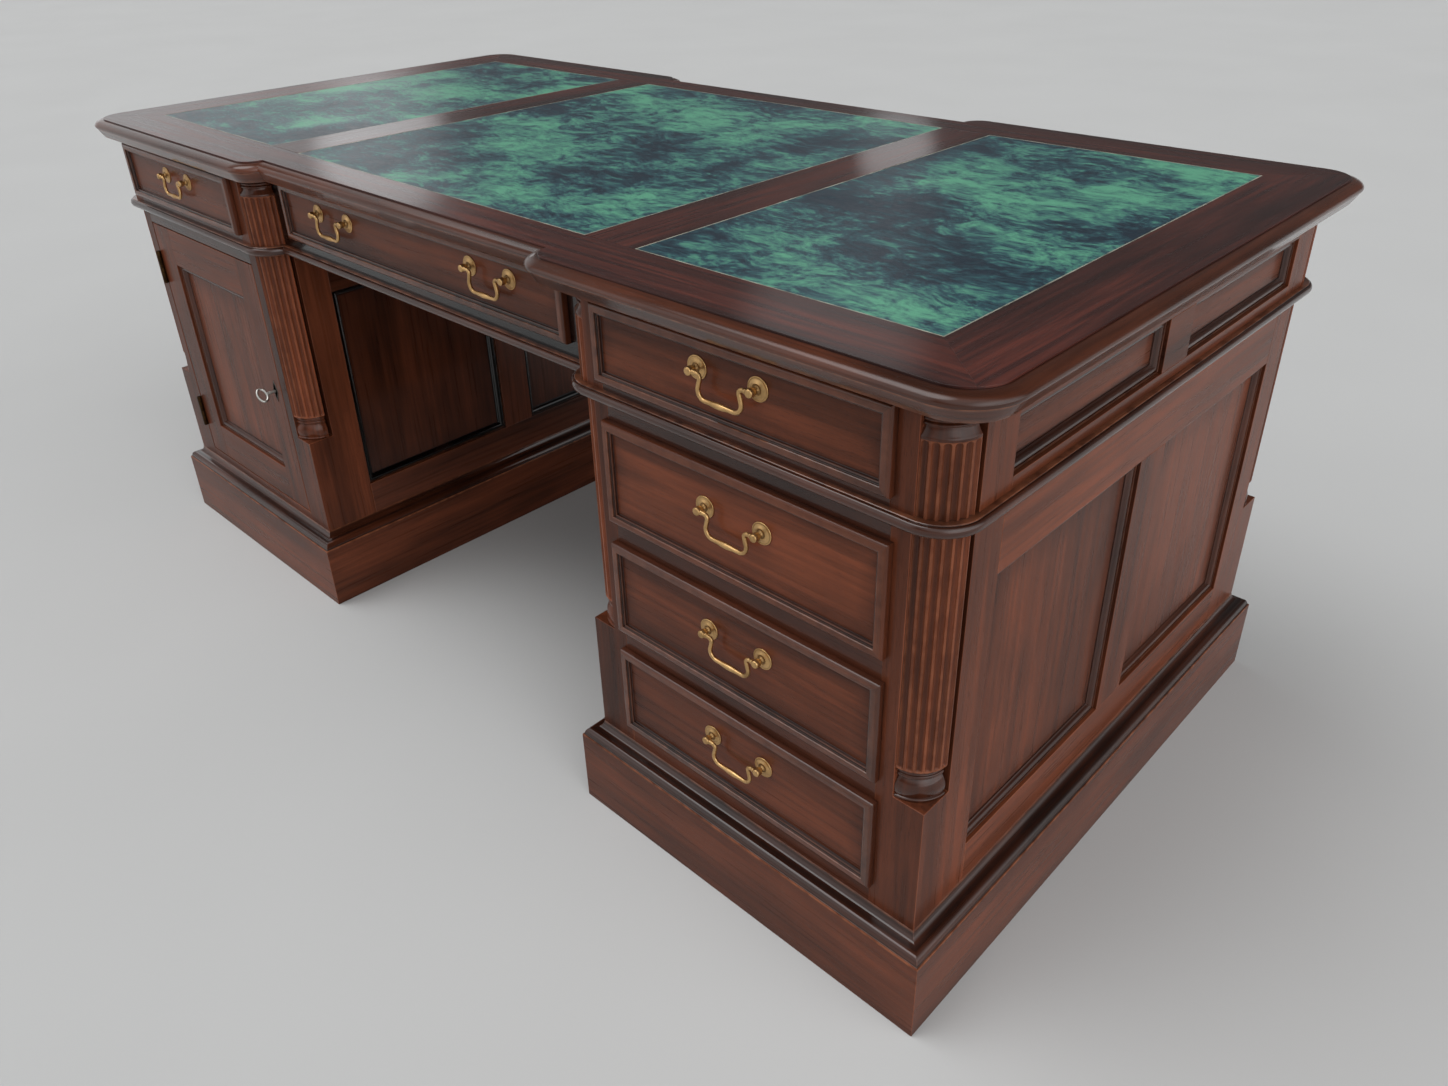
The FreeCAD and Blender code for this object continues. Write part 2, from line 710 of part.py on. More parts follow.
def panel(name, half_width, half_height):
    """A sunk panel that faces +x, its frame's face on the origin, its middle on the x axis."""
    body = doc.addObject("PartDesign::Body", name)
    back = s.panel_rim + s.panel_thick
    blank = body_sketch(body, name + "Blank", "YZ_Plane", -back)
    rectangle(blank, (-half_width, half_width), (-half_height, half_height))
    feature(body, "Pad", name + "Pad", blank, s.panel_thick)
    y = half_width - s.panel_moulding
    z = half_height - s.panel_moulding
    field = body_sketch(body, name + "Field", "YZ_Plane", -s.panel_rim)
    rectangle(field, (-y, y), (-z, z))
    sunk = feature(body, "Pocket", name + "Sunk", field, s.panel_sink - s.panel_rim)

    def on_rim(point):
        return near(point.x, -s.panel_rim.value) and near(abs(point.y), y.value) and near(abs(point.z), z.value)

    bevel(body, name + "Bevel", sunk, on_rim, s.panel_bevel)
    return body


def side_panels():
    """Two sunk panels on each side of each pedestal and at each end of the frieze."""
    half_width = (post_back - half_muntin) / 2
    y = half_muntin + half_width
    low = s.panel_sill
    high = pedestal_top - s.panel_head
    tall = panel("SidePanel", half_width, (high - low) / 2)
    end_low = pedestal_top + s.end_panel_sill
    end_high = frieze_top - s.end_panel_head
    short = panel("EndPanel", half_width, (end_high - end_low) / 2)
    middle = (low + high) / 2
    end_middle = (end_low + end_high) / 2
    placed = []
    for across in (y, -y):
        placed.append(place(tall, pedestal_x + half_pedestal, across, middle))
        placed.append(place(tall, pedestal_x - half_pedestal, across, middle, HALF_TURN))
        placed.append(place(short, block_out, across, end_middle))
    group = doc.addObject("Part::Compound", "PanelSet")
    group.Links = placed
    node("side_panels", [group, place(group, turn=HALF_TURN)])


# Pedestals

def stepped_board(name, inner, front, y, z):
    """A board across a case, narrowed between the posts; y gives its inner edge, the posts and the rail."""
    middle, posts, rail = y
    wide = board(name + "Wide", (-inner, inner), (-posts, -middle), z)
    narrow = board(name + "Narrow", (-front, front), (-rail, -posts), z)
    return fuse(name, [wide, narrow])


def pedestal_case():
    """Boards of a pedestal about its own middle: drawers to the front, a cupboard to the rear."""
    rail_back = pedestal_y - s.frame_thick
    across = (-half_opening, half_opening)
    door_high = pedestal_top - s.door_head
    head_low = pedestal_top - s.head_board
    boards = []
    for name, low, high in (
        ("BaseRail", 0, s.base_rail),
        ("LowerRail", lower_head, middle_sill),
        ("UpperRail", middle_head, upper_sill),
        ("HeadRail", upper_head, pedestal_top),
    ):
        boards.append(board(name, across, (-pedestal_y, -rail_back), (low, high)))
    boards.append(board("DoorSill", across, (rail_back, pedestal_y), (0, s.door_sill)))
    boards.append(board("DoorHead", across, (rail_back, pedestal_y), (door_high, pedestal_top)))

    panel_low = s.panel_sill
    panel_high = pedestal_top - s.panel_head
    side = (frame_in, half_pedestal)
    boards += pair("SideSill", side, (-post_back, post_back), (0, panel_low))
    boards += pair("SideHead", side, (-post_back, post_back), (panel_high, pedestal_top))
    boards += pair("SideMuntin", side, (-half_muntin, half_muntin), (panel_low, panel_high))

    depths = (half_partition, post_back, rail_back)
    floor_high = s.base_rail - s.runner_tall
    floor_z = (floor_high - s.board_thick, floor_high)
    floor = stepped_board("DrawerFloor", frame_in, half_opening, depths, floor_z)
    cupboard_z = (s.door_sill - s.board_thick, s.door_sill)
    cupboard = stepped_board("DoorFloor", frame_in, half_opening, depths, cupboard_z)
    head = stepped_board("Head", frame_in, half_opening, depths, (head_low, pedestal_top))
    boards += [floor, place(cupboard, turn=HALF_TURN), head, place(head, turn=HALF_TURN)]
    partition_y = (-half_partition, half_partition)
    boards.append(board("Partition", (-frame_in, frame_in), partition_y, (0, pedestal_top)))

    for sill in (s.base_rail, middle_sill, upper_sill):
        low = sill - s.runner_tall
        runner = (half_opening - s.runner_wide, half_opening)
        boards += pair("Runner", runner, (-rail_back, -half_partition), (low, sill))
        guide_z = (low, sill + s.guide_rise)
        boards += pair("Guide", (half_opening, frame_in), (-post_back, -half_partition), guide_z)

    post = corner_post("PedestalPost", s.post_width, s.post_depth, 0, pedestal_top, s.column_ledge)
    front_right, rear_left, front_left, rear_right = four_corners(post, half_pedestal, pedestal_y)
    boards += [front_right, front_left, rear_right, cut("LockPost", rear_left, mortise())]
    node("right_pedestal_case", boards, pedestal_x)
    node("left_pedestal_case", boards, -pedestal_x, turn=HALF_TURN)


# Frieze

def frieze_block():
    """Boards of the frieze over one pedestal, about its own middle."""
    rail_back = block_y - s.frame_thick
    across = (-half_opening, half_opening)
    half = [
        board("BlockSill", across, (-block_y, -rail_back), (pedestal_top, frieze_low)),
        board("BlockHead", across, (-block_y, -rail_back), (frieze_high, frieze_top)),
        stepped_board("BlockFloor", block_frame_in, half_opening, (half_partition, post_back, rail_back),
                      (pedestal_top, frieze_floor)),
    ]
    runner = (half_opening - s.runner_wide, half_opening)
    half += pair("BlockRunner", runner, (-rail_back, -half_partition), (frieze_floor, frieze_low))
    half += pair("BlockGuide", (half_opening, block_frame_in), (-post_back, -half_partition),
                 (frieze_floor, frieze_low + s.guide_rise))
    group = doc.addObject("Part::Compound", "BlockHalf")
    group.Links = half

    panel_low = pedestal_top + s.end_panel_sill
    panel_high = frieze_top - s.end_panel_head
    end = (block_frame_in, half_block)
    rest = [
        board("EndSill", end, (-post_back, post_back), (pedestal_top, panel_low)),
        board("EndHead", end, (-post_back, post_back), (panel_high, frieze_top)),
        board("EndMuntin", end, (-half_muntin, half_muntin), (panel_low, panel_high)),
        board("InnerEnd", (-half_block, -block_frame_in), (-post_back, post_back), (pedestal_top, frieze_top)),
        board("BlockPartition", (-block_frame_in, block_frame_in), (-half_partition, half_partition),
              (pedestal_top, frieze_top)),
    ]
    post = corner_post("BlockPost", s.post_width + s.frieze_overhang, s.post_depth + s.frieze_overhang,
                       pedestal_top, frieze_top, pedestal_top)
    return [group, place(group, turn=HALF_TURN)] + rest + four_corners(post, half_block, block_y)


def frieze_centre():
    """Boards of the frieze over the knee hole, from its front to the partition."""
    rail_back = centre_y - s.frame_thick
    face = (-centre_y, -rail_back)
    depth = (-rail_back, -half_partition)
    boards = [
        board("CentreSill", (-block_in, block_in), face, (pedestal_top, centre_low)),
        board("CentreHead", (-block_in, block_in), face, (frieze_high, frieze_top)),
        board("CentreFloor", (-block_in, block_in), depth, (pedestal_top, frieze_floor)),
    ]
    boards += pair("CentreStile", (half_centre, block_in), face, (centre_low, frieze_high))
    boards += pair("CentreRunner", (half_centre - s.runner_wide, half_centre), depth, (frieze_floor, centre_low))
    boards += pair("CentreGuide", (half_centre, block_in), depth, (frieze_floor, centre_low + s.guide_rise))
    return boards


def frieze_case():
    """The frieze: a block over each pedestal and a set-back middle over the knee hole."""
    block = doc.addObject("Part::Compound", "Block")
    block.Links = frieze_block()
    centre = doc.addObject("Part::Compound", "Centre")
    centre.Links = frieze_centre()
    partition = board("CentrePartition", (-block_in, block_in), (-half_partition, half_partition),
                      (pedestal_top, frieze_top))
    node("frieze_case", [
        place(block, pedestal_x),
        place(block, -pedestal_x, turn=HALF_TURN),
        centre,
        place(centre, turn=HALF_TURN),
        partition,
    ])


# Drawers

def drawer_front(name, half, low, high):
    """A moulded front that laps over its opening; the case's face is on the origin."""
    body = doc.addObject("PartDesign::Body", name)
    x = half + s.lip
    z = (low - s.lip, high + s.lip)
    lap = body_sketch(body, name + "Lap", "XZ_Plane", s.front_gap)
    rectangle(lap, (-x, x), z)
    slab = feature(body, "Pad", name + "Slab", lap, s.front_proud - s.front_gap)

    def on_crest(point):
        return near(point.y, -s.front_proud.value)

    bevel(body, name + "Bevel", slab, on_crest, s.front_bevel)
    inset = s.front_crest
    step = body_sketch(body, name + "Step", "XZ_Plane", s.front_proud)
    rectangle(step, (inset - x, x - inset), (z[0] + inset, z[1] - inset))
    feature(body, "Pocket", name + "Stepped", step, s.front_step)
    inset = s.front_crest + s.front_step
    field = body_sketch(body, name + "Field", "XZ_Plane", s.front_proud)
    rectangle(field, (inset - x, x - inset), (z[0] + inset, z[1] - inset))
    feature(body, "Pocket", name + "Sunk", field, s.front_proud - s.front_field)
    inner = body_sketch(body, name + "Inner", "XZ_Plane", s.front_gap)
    rectangle(inner, (s.box_gap - half, half - s.box_gap), (low + s.box_rise, high - s.box_head))
    feature(body, "Pad", name + "Back", inner, s.front_gap + s.front_inner, reverse=True)
    return body


def drawer(name, half, low, high, face):
    """A drawer about its own middle, the case's face on the origin, its box reaching to the rear."""
    out = half - s.box_gap
    inner = out - s.box_side
    back = face - half_partition - s.box_back_gap
    bottom = low + s.box_rise
    top = high - s.box_head
    tray = bottom + s.box_bottom
    depth = (s.front_inner, back)
    pieces = [drawer_front(name + "Front", half, low, high)]
    pieces += pair(name + "Side", (inner, out), depth, (bottom, top))
    pieces.append(board(name + "Bottom", (-inner, inner), depth, (tray, tray + s.box_bottom)))
    pieces.append(board(name + "Back", (-inner, inner), (back - s.box_side, back), (tray + s.box_bottom, top)))
    group = doc.addObject("Part::Compound", name)
    group.Links = pieces
    return group


# Swan-neck handles

def polygon(radius, sides):
    """Corners of a regular outline about the origin, with a flat side facing each way."""
    angles = [2 * math.pi * (side + 0.5) / sides for side in range(sides)]
    return [(radius * math.cos(a), radius * math.sin(a)) for a in angles]


def handle_post():
    """A post on a round rosette; it stands on the origin and reaches to the front."""
    body = doc.addObject("PartDesign::Body", "HandlePostBlank")
    outline = body_sketch(body, "RosetteOutline", "XZ_Plane")
    outline.addGeometry(lines(polygon(s.rosette_radius.value, BAR_SIDES)), False)
    plate = feature(body, "Pad", "RosettePlate", outline, s.rosette_dome)

    def on_face(point):
        return near(point.y, -s.rosette_dome.value)

    slope = (s.rosette_radius - s.head_radius) * math.cos(math.pi / BAR_SIDES)
    bevel(body, "RosetteSlope", plate, on_face, s.rosette_dome - s.rosette_rim, slope)
    section = body_sketch(body, "StemOutline", "XZ_Plane", s.rosette_dome)
    section.addGeometry(lines(polygon(s.head_radius.value, BAR_SIDES)), False)
    feature(body, "Pad", "Stem", section, s.handle_reach + s.head_radius - s.rosette_dome)
    hole = s.bail_pin + s.pin_play
    past = s.head_radius + CUT_PAST
    room = board("PinHole", (-past, past), (-s.handle_reach - hole, hole - s.handle_reach), (-hole, hole))
    return cut("HandlePost", body, room)


def bail_route():
    """Right half of the bail's wire in the plane of the handle, from its shoulder to the lower bow."""
    shoulder = (handle_half - s.head_radius - s.bail_shoulder).value
    neck_x = shoulder - s.neck_run.value
    neck = s.neck_round.value
    turns = [math.radians(BEND_DEGREES * chord / BEND_CHORDS) for chord in range(BEND_CHORDS + 1)]
    route = [(shoulder, 0)]
    route += [(neck_x - neck * math.sin(turn), neck * math.cos(turn) - neck) for turn in turns]
    lean = turns[-1]
    bow = s.bow_round.value
    leg_x = route[-1][0] - s.leg_run.value * math.cos(lean)
    leg_z = route[-1][1] - s.leg_run.value * math.sin(lean)
    bow_x = leg_x - bow * math.sin(lean)
    bow_z = leg_z + bow * math.cos(lean)
    route += [(bow_x + bow * math.sin(turn), bow_z - bow * math.cos(turn)) for turn in reversed(turns)]
    return route


def pins():
    """The two pins that the bail hangs by."""
    shoulder = handle_half - s.head_radius - s.bail_shoulder
    length = handle_half + s.bail_radius - shoulder
    made = []
    for start in (shoulder, -shoulder - length):
        pin = rod("BailPin", s.bail_pin, length)
        pin.Placement = FreeCAD.Placement(Vector(), FreeCAD.Rotation(INWARD, 90))
        bind_place(pin, start, 0, 0)
        made.append(pin)
    return made


def bail():
    """The hanging grip of a handle, its pivot axis along x through the origin."""
    right = bail_route()
    left = [(-x, z) for x, z in reversed(right)]
    path = free_sketch("BailPath", lines(right + left, False), upright(0))
    across = FreeCAD.Rotation(INWARD, 90)
    section = free_sketch("WireSection", lines(polygon(s.bail_radius.value, WIRE_SIDES)), across)
    bind_place(section, right[0][0], 0, 0)
    wire = sweep("BailWire", section, path)

    body = doc.addObject("PartDesign::Body", "Olive")
    outline = body_sketch(body, "OliveOutline", "YZ_Plane", -s.olive_half)
    centre = right[-1][1]
    outline.addGeometry(lines([(y, z + centre) for z, y in polygon(s.olive_radius.value, WIRE_SIDES)]), False)
    blank = feature(body, "Pad", "OliveBlank", outline, s.olive_half * 2)

    def on_end(point):
        return near(abs(point.x), s.olive_half.value)

    slope = (s.olive_radius - s.bail_radius) * math.cos(math.pi / WIRE_SIDES)
    bevel(body, "OliveEnds", blank, on_end, slope)
    return fuse("Bail", [wire, body] + pins())


def drawers():
    """The drawers and their handles, for the front user and, turned, for the rear user."""
    post = handle_post()
    grip = bail()
    frieze = drawer("FriezeDrawer", half_opening, frieze_low, frieze_high, block_y)
    centre = drawer("CentreDrawer", half_centre, centre_low, frieze_high, centre_y)
    upper = drawer("UpperDrawer", half_opening, upper_sill, upper_head, pedestal_y)
    middle = drawer("MiddleDrawer", half_opening, middle_sill, middle_head, pedestal_y)
    lower = drawer("LowerDrawer", half_opening, s.base_rail, lower_head, pedestal_y)
    single = [("", dim(0))]
    double = [("_left", -s.centre_handle), ("_right", s.centre_handle)]
    fittings = [
        ("left_frieze", frieze, -pedestal_x, block_y, frieze_low, frieze_high, single),
        ("centre", centre, dim(0), centre_y, centre_low, frieze_high, double),
        ("right_frieze", frieze, pedestal_x, block_y, frieze_low, frieze_high, single),
        ("upper", upper, pedestal_x, pedestal_y, upper_sill, upper_head, single),
        ("middle", middle, pedestal_x, pedestal_y, middle_sill, middle_head, single),
        ("lower", lower, pedestal_x, pedestal_y, s.base_rail, lower_head, single),
    ]
    for side, turn, sign in (("front", 0, 1), ("rear", HALF_TURN, -1)):
        for name, form, x, face, low, high, grips in fittings:
            field = -face - s.front_field
            pivot = field - s.handle_reach
            height = (low + high) / 2 + s.handle_rise
            node(f"{side}_{name}_drawer", [form], x * sign, face * -sign, 0, turn)
            posts = []
            for tag, offset in grips:
                for spot in (x + offset - handle_half, x + offset + handle_half):
                    posts.append(place(post, spot, field, height))
                node(f"{side}_{name}{tag}_bail", [grip], (x + offset) * sign, pivot * sign, height, turn)
            node(f"{side}_{name}_posts", posts, turn=turn)


# Cupboard door of the front left pedestal, with its hinges and lock

door_in = half_opening - s.door_gap - pedestal_x
door_out = s.hinge_gap - half_opening - pedestal_x
door_low = s.door_sill + s.door_gap
door_high = pedestal_top - s.door_head - s.door_gap
door_middle = (door_low + door_high) / 2
door_back = s.frame_thick - pedestal_y
key_x = door_in - s.key_edge
key_z = door_middle + s.key_rise
bolt_low = key_z + s.bit_radius + s.bolt_gap
bolt_high = bolt_low + s.bolt_tall
bolt_y = door_back + (s.lock_depth - s.bolt_thick) / 2
bolt_end = door_in - s.lock_edge + s.bolt_gap


def key_hole(name, low, high):
    """Room for the key's shaft between two depths."""
    hole = bore(name, s.key_radius + s.key_play, high - low)
    hole.Placement = FreeCAD.Placement(Vector(), FreeCAD.Rotation(ACROSS, -90))
    bind_place(hole, key_x, low, key_z)
    return hole


def mortise():
    """Room for the shot bolt in the post of the right pedestal, whose door is at the rear."""
    reach = bolt_end + s.bolt_throw + s.mortise_spare + pedestal_x
    y = (-bolt_y - s.bolt_thick - s.mortise_fit, s.mortise_fit - bolt_y)
    z = (bolt_low - s.mortise_fit, bolt_high + s.mortise_fit)
    return board("Mortise", (-reach, CUT_PAST - half_opening), y, z)


def door_frame():
    """Stiles and rails of the door, the lock stile bored for the key."""
    y = (-pedestal_y, door_back)
    x = (door_out + s.door_stile, door_in - s.door_stile)
    hinge_stile = board("HingeStile", (door_out, x[0]), y, (door_low, door_high))
    blank = board("LockStileBlank", (x[1], door_in), y, (door_low, door_high))
    lock_stile = cut("LockStile", blank, key_hole("StileHole", -pedestal_y - CUT_PAST, door_back + CUT_PAST))
    bottom = board("DoorBottomRail", x, y, (door_low, door_low + s.door_rail))
    top = board("DoorTopRail", x, y, (door_high - s.door_rail, door_high))
    return [hinge_stile, lock_stile, bottom, top]


def door_panel():
    """Sunk panel of the door."""
    half_width = (door_in - door_out) / 2 - s.door_stile
    half_height = (door_high - door_low) / 2 - s.door_rail
    form = panel("DoorPanel", half_width, half_height)
    return place(form, (door_in + door_out) / 2, -pedestal_y, door_middle, -90)


def hinge_half(name, side, half_gap, knuckle):
    """Leaf and knuckle of a hinge about its pin; side is 1 for the door's half, -1 for the case's."""
    clear = s.knuckle_radius + s.knuckle_gap
    face = (half_gap - s.hinge_leaf) * side
    x = (face, half_gap * side) if side > 0 else (half_gap * side, face)
    half = s.hinge_height / 2
    leaf = board(name + "Leaf", x, (clear, s.hinge_width), (-half, half))
    tab = board(name + "Tab", x, (0, clear), knuckle)
    barrel = bar(name + "Barrel", s.knuckle_radius, dim(knuckle[1]) - knuckle[0])
    bind_place(barrel, 0, 0, knuckle[0])
    return [leaf, tab, barrel]


def hinge():
    """A lift-off hinge about its pin: the case's half with the pin, and the door's half."""
    half = s.hinge_height / 2
    half_gap = s.hinge_gap / 2
    pin = rod("HingePin", s.hinge_pin, s.hinge_height)
    bind_place(pin, 0, 0, -half)
    case = fuse("CaseHinge", hinge_half("CaseHinge", -1, half_gap, (-half, -s.knuckle_gap)) + [pin])
    room = rod("HingeBore", s.hinge_pin + s.hinge_play, s.hinge_height + CUT_PAST * 2)
    bind_place(room, 0, 0, -half - CUT_PAST)
    leaf = cut("DoorHinge", fuse("DoorHingeBlank", hinge_half("DoorHinge", 1, half_gap, (0, half))), room)
    return case, leaf


def lock_case():
    """Hollow case of the lock on the back of the door, open for the key and the bolt."""
    x = (door_in - s.lock_edge - s.lock_width, door_in - s.lock_edge)
    y = (door_back, door_back + s.lock_depth)
    z = (key_z - s.lock_below, bolt_high + s.bolt_gap + s.lock_wall)
    wall = s.lock_wall
    blank = board("LockBlank", x, y, z)
    room = board("LockRoom", *[(low + wall, high - wall) for low, high in (x, y, z)])
    slot = board("BoltSlot", (x[1] - wall - CUT_PAST, x[1] + CUT_PAST),
                 (bolt_y - s.bolt_gap, bolt_y + s.bolt_thick + s.bolt_gap),
                 (bolt_low - s.bolt_gap, bolt_high + s.bolt_gap))
    entry = key_hole("LockKeyHole", y[0] - CUT_PAST, y[0] + wall + CUT_PAST)
    return cut("LockCase", blank, fuse("LockHollow", [room, slot, entry]))


def escutcheon():
    """Lozenge plate round the keyhole."""
    body = doc.addObject("PartDesign::Body", "Escutcheon")
    outline = body_sketch(body, "Lozenge", "XZ_Plane")
    x = s.escutcheon_width.value / 2
    z = s.escutcheon_height.value / 2
    hole = (s.key_radius + s.key_play).value / math.cos(math.pi / BAR_SIDES)
    outline.addGeometry(lines([(x, 0), (0, z), (-x, 0), (0, -z)]), False)
    outline.addGeometry(lines(oval(0, hole, hole, BAR_SIDES)), False)
    feature(body, "Pad", "LozengePlate", outline, s.escutcheon_thick)
    return place(body, key_x, -pedestal_y, key_z)


def oval(centre, across, along, sides):
    """Corners of a faceted oval about a point of the sketch's y axis."""
    angles = [2 * math.pi * side / sides for side in range(sides)]
    return [(across * math.cos(a), centre + along * math.sin(a)) for a in angles]


def key():
    """Key with an oval bow, its shaft along y through the keyhole."""
    inside = s.frame_thick + s.lock_depth - s.lock_wall * 2
    shaft = rod("KeyShaft", s.key_radius, s.key_out + inside)
    shaft.Placement = FreeCAD.Placement(Vector(), FreeCAD.Rotation(ACROSS, -90))
    bind_place(shaft, 0, -s.key_out, 0)
    body = doc.addObject("PartDesign::Body", "KeyBow")
    outline = body_sketch(body, "BowOutline", "XY_Plane")
    reach = s.key_bow_reach.value / 2
    centre = s.key_wire.value / 2 - s.key_out.value - reach
    for inset in (0, s.key_wire.value):
        outline.addGeometry(lines(oval(centre, s.key_bow.value / 2 - inset, reach - inset, BOW_SIDES)), False)
    ring = feature(body, "Pad", "BowRing", outline, s.key_wire)
    ring.Midplane = True
    bit_y = inside - s.lock_wall
    bit = board("KeyBit", (0, s.bit_radius), (bit_y - s.bit_width, bit_y), (-s.bit_thick / 2, s.bit_thick / 2))
    form = fuse("Key", [shaft, body, bit])
    turned = doc.addObject("Part::Compound", "KeyTurned")
    turned.Links = [form]
    turned.Placement = FreeCAD.Placement(Vector(), FreeCAD.Rotation(INWARD, KEY_DEGREES))
    bind_place(turned, key_x, -pedestal_y, key_z)
    return turned


def doors():
    """The cupboard doors with hinges and locks, front and, turned, rear."""
    case_hinge, door_hinge = hinge()
    pin_x = door_out - s.hinge_gap / 2
    pin_y = -pedestal_y - s.knuckle_radius - s.knuckle_gap
    heights = (door_middle - s.hinge_offset, door_middle + s.hinge_offset)
    case_hinges = [place(case_hinge, pin_x, pin_y, z) for z in heights]
    door_hinges = [place(door_hinge, pin_x, pin_y, z) for z in heights]
    bolt_x = (bolt_end - s.bolt_length, bolt_end)
    bolt = board("Bolt", bolt_x, (bolt_y, bolt_y + s.bolt_thick), (bolt_low, bolt_high))
    fitted = [
        ("door_frame", door_frame()),
        ("door_panel", [door_panel()]),
        ("door_hinges", door_hinges),
        ("lock", [lock_case(), escutcheon()]),
        ("key", [key()]),
        ("bolt", [bolt]),
    ]
    for side, turn in (("front", 0), ("rear", HALF_TURN)):
        for name, members in fitted:
            node(f"{side}_{name}", members, turn=turn)
    plates = doc.addObject("Part::Compound", "CaseHinges")
    plates.Links = case_hinges
    node("hinge_plates", [plates, place(plates, turn=HALF_TURN)])


top_frame()
leathers()
frieze_case()
columns()
waist_moulding()
pedestal_case()
side_panels()
plinths()
drawers()
doors()
doc.recompute()

# Every object and sub-part is sound before anything is written
faults = [thing.Label for thing in doc.Objects if {"Invalid", "Error"} & set(thing.State)]
faults += [part.Label for part in nodes if part.Shape.isNull() or not part.Shape.isValid()]
if faults:
    raise RuntimeError("failed: " + ", ".join(faults))

os.makedirs("parts", exist_ok=True)
for part in nodes:
    part.Shape.exportStep(f"parts/{part.Label}.step")
print(len(nodes), "nodes,", sum(len(part.Shape.Solids) for part in nodes), "solids")
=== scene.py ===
import math

import bmesh
import bpy
import numpy as np
from bpy.props import FloatProperty, FloatVectorProperty, IntProperty, PointerProperty
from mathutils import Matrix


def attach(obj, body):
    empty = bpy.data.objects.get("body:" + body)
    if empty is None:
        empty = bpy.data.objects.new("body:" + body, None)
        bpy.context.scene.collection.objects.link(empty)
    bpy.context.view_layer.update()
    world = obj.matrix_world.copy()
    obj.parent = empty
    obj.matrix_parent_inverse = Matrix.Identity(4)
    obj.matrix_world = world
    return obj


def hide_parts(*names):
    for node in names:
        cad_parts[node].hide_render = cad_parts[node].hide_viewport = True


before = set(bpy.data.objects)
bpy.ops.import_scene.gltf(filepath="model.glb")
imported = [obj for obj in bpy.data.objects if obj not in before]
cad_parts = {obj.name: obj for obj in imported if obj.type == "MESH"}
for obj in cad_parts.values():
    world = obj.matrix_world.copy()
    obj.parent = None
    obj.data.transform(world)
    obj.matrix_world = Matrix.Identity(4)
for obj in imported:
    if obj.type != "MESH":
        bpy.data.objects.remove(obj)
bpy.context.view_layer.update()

bl_info = {
    "name": "Partners desk",
    "version": (1, 0, 0),
    "blender": (4, 5, 0),
    "location": "3D View > Sidebar > Desk",
    "description": "Turned, moulded and polished pieces of a partners desk, fitted to its frame",
    "category": "Object",
}

# Places of the frame in millimetres: x along the desk, the front towards -y, z up from the floor
MM = 0.001
PEDESTAL_X = 618.75
HALF_PEDESTAL = 251.75
HALF_BLOCK = 255.75
PEDESTAL_Y = 424.5
BLOCK_Y = 428.5
CENTRE_Y = 390.5
BLOCK_IN = PEDESTAL_X - HALF_BLOCK
COLUMN_INSET = 38.0
SHAFT_LOW = 346.0
WAIST_LOW = 629.0
WAIST_TALL = 14.0
CAP_LOW = 719.0
DESK_TOP = 780.0
SKIRTING_TALL = 134.0
LEATHER_IN = 411.5
LEATHER_OUT = 807.0
LEATHER_Y = 356.0
MIDDLE_LEATHER_X = 329.0
MIDDLE_LEATHER_Y = 357.0
HALF_OPENING = 192.0
HALF_CENTRE = 326.0

# Sunk panels: middles and half sizes
SIDE_PANEL_Y = 181.0
SIDE_PANEL_HALF = 150.0
SIDE_PANEL_Z = 370.0
SIDE_PANEL_TALL = 179.0
FRIEZE_PANEL_Z = 687.0
FRIEZE_PANEL_TALL = 31.0

# Front door and its fittings
DOOR_X = (-807.75, -428.75)
DOOR_Z = (152.0, 604.0)
DOOR_STILE = 60.0
DOOR_RAIL = 66.0
KEY_X = -450.0
KEY_Z = 380.0
KEY_DEGREES = 225.0
HINGE_X = -809.25
HINGE_Y = -428.6
HINGE_Z = (233.0, 523.0)

# Users' sides of the desk: name, turn about the upright, sign of places that the turn carries over
SIDES = (("front", 0.0, 1), ("rear", 180.0, -1))
CORNERS = np.array([(-1, -1), (1, -1), (1, 1), (-1, 1)])

# Drawers: name, middle, half width of the opening, its sill and head, face of the case
DRAWERS = (
    ("left_frieze", -PEDESTAL_X, HALF_OPENING, 659.0, 742.0, BLOCK_Y),
    ("centre", 0.0, HALF_CENTRE, 664.0, 742.0, CENTRE_Y),
    ("right_frieze", PEDESTAL_X, HALF_OPENING, 659.0, 742.0, BLOCK_Y),
    ("upper", PEDESTAL_X, HALF_OPENING, 479.0, 602.0, PEDESTAL_Y),
    ("middle", PEDESTAL_X, HALF_OPENING, 321.5, 441.5, PEDESTAL_Y),
    ("lower", PEDESTAL_X, HALF_OPENING, 167.0, 284.0, PEDESTAL_Y),
)
# Drawer fronts: their lap over the case, and how far their field stands out
LAP = 4.0
FIELD_OUT = 3.5
# Handles: rise above the drawer's middle, half spread, place on the centre drawer, pivot off the field
HANDLE_RISE = 12.5
HANDLE_HALF = 40.0
CENTRE_HANDLE = 186.0
PIVOT_OUT = 11.5

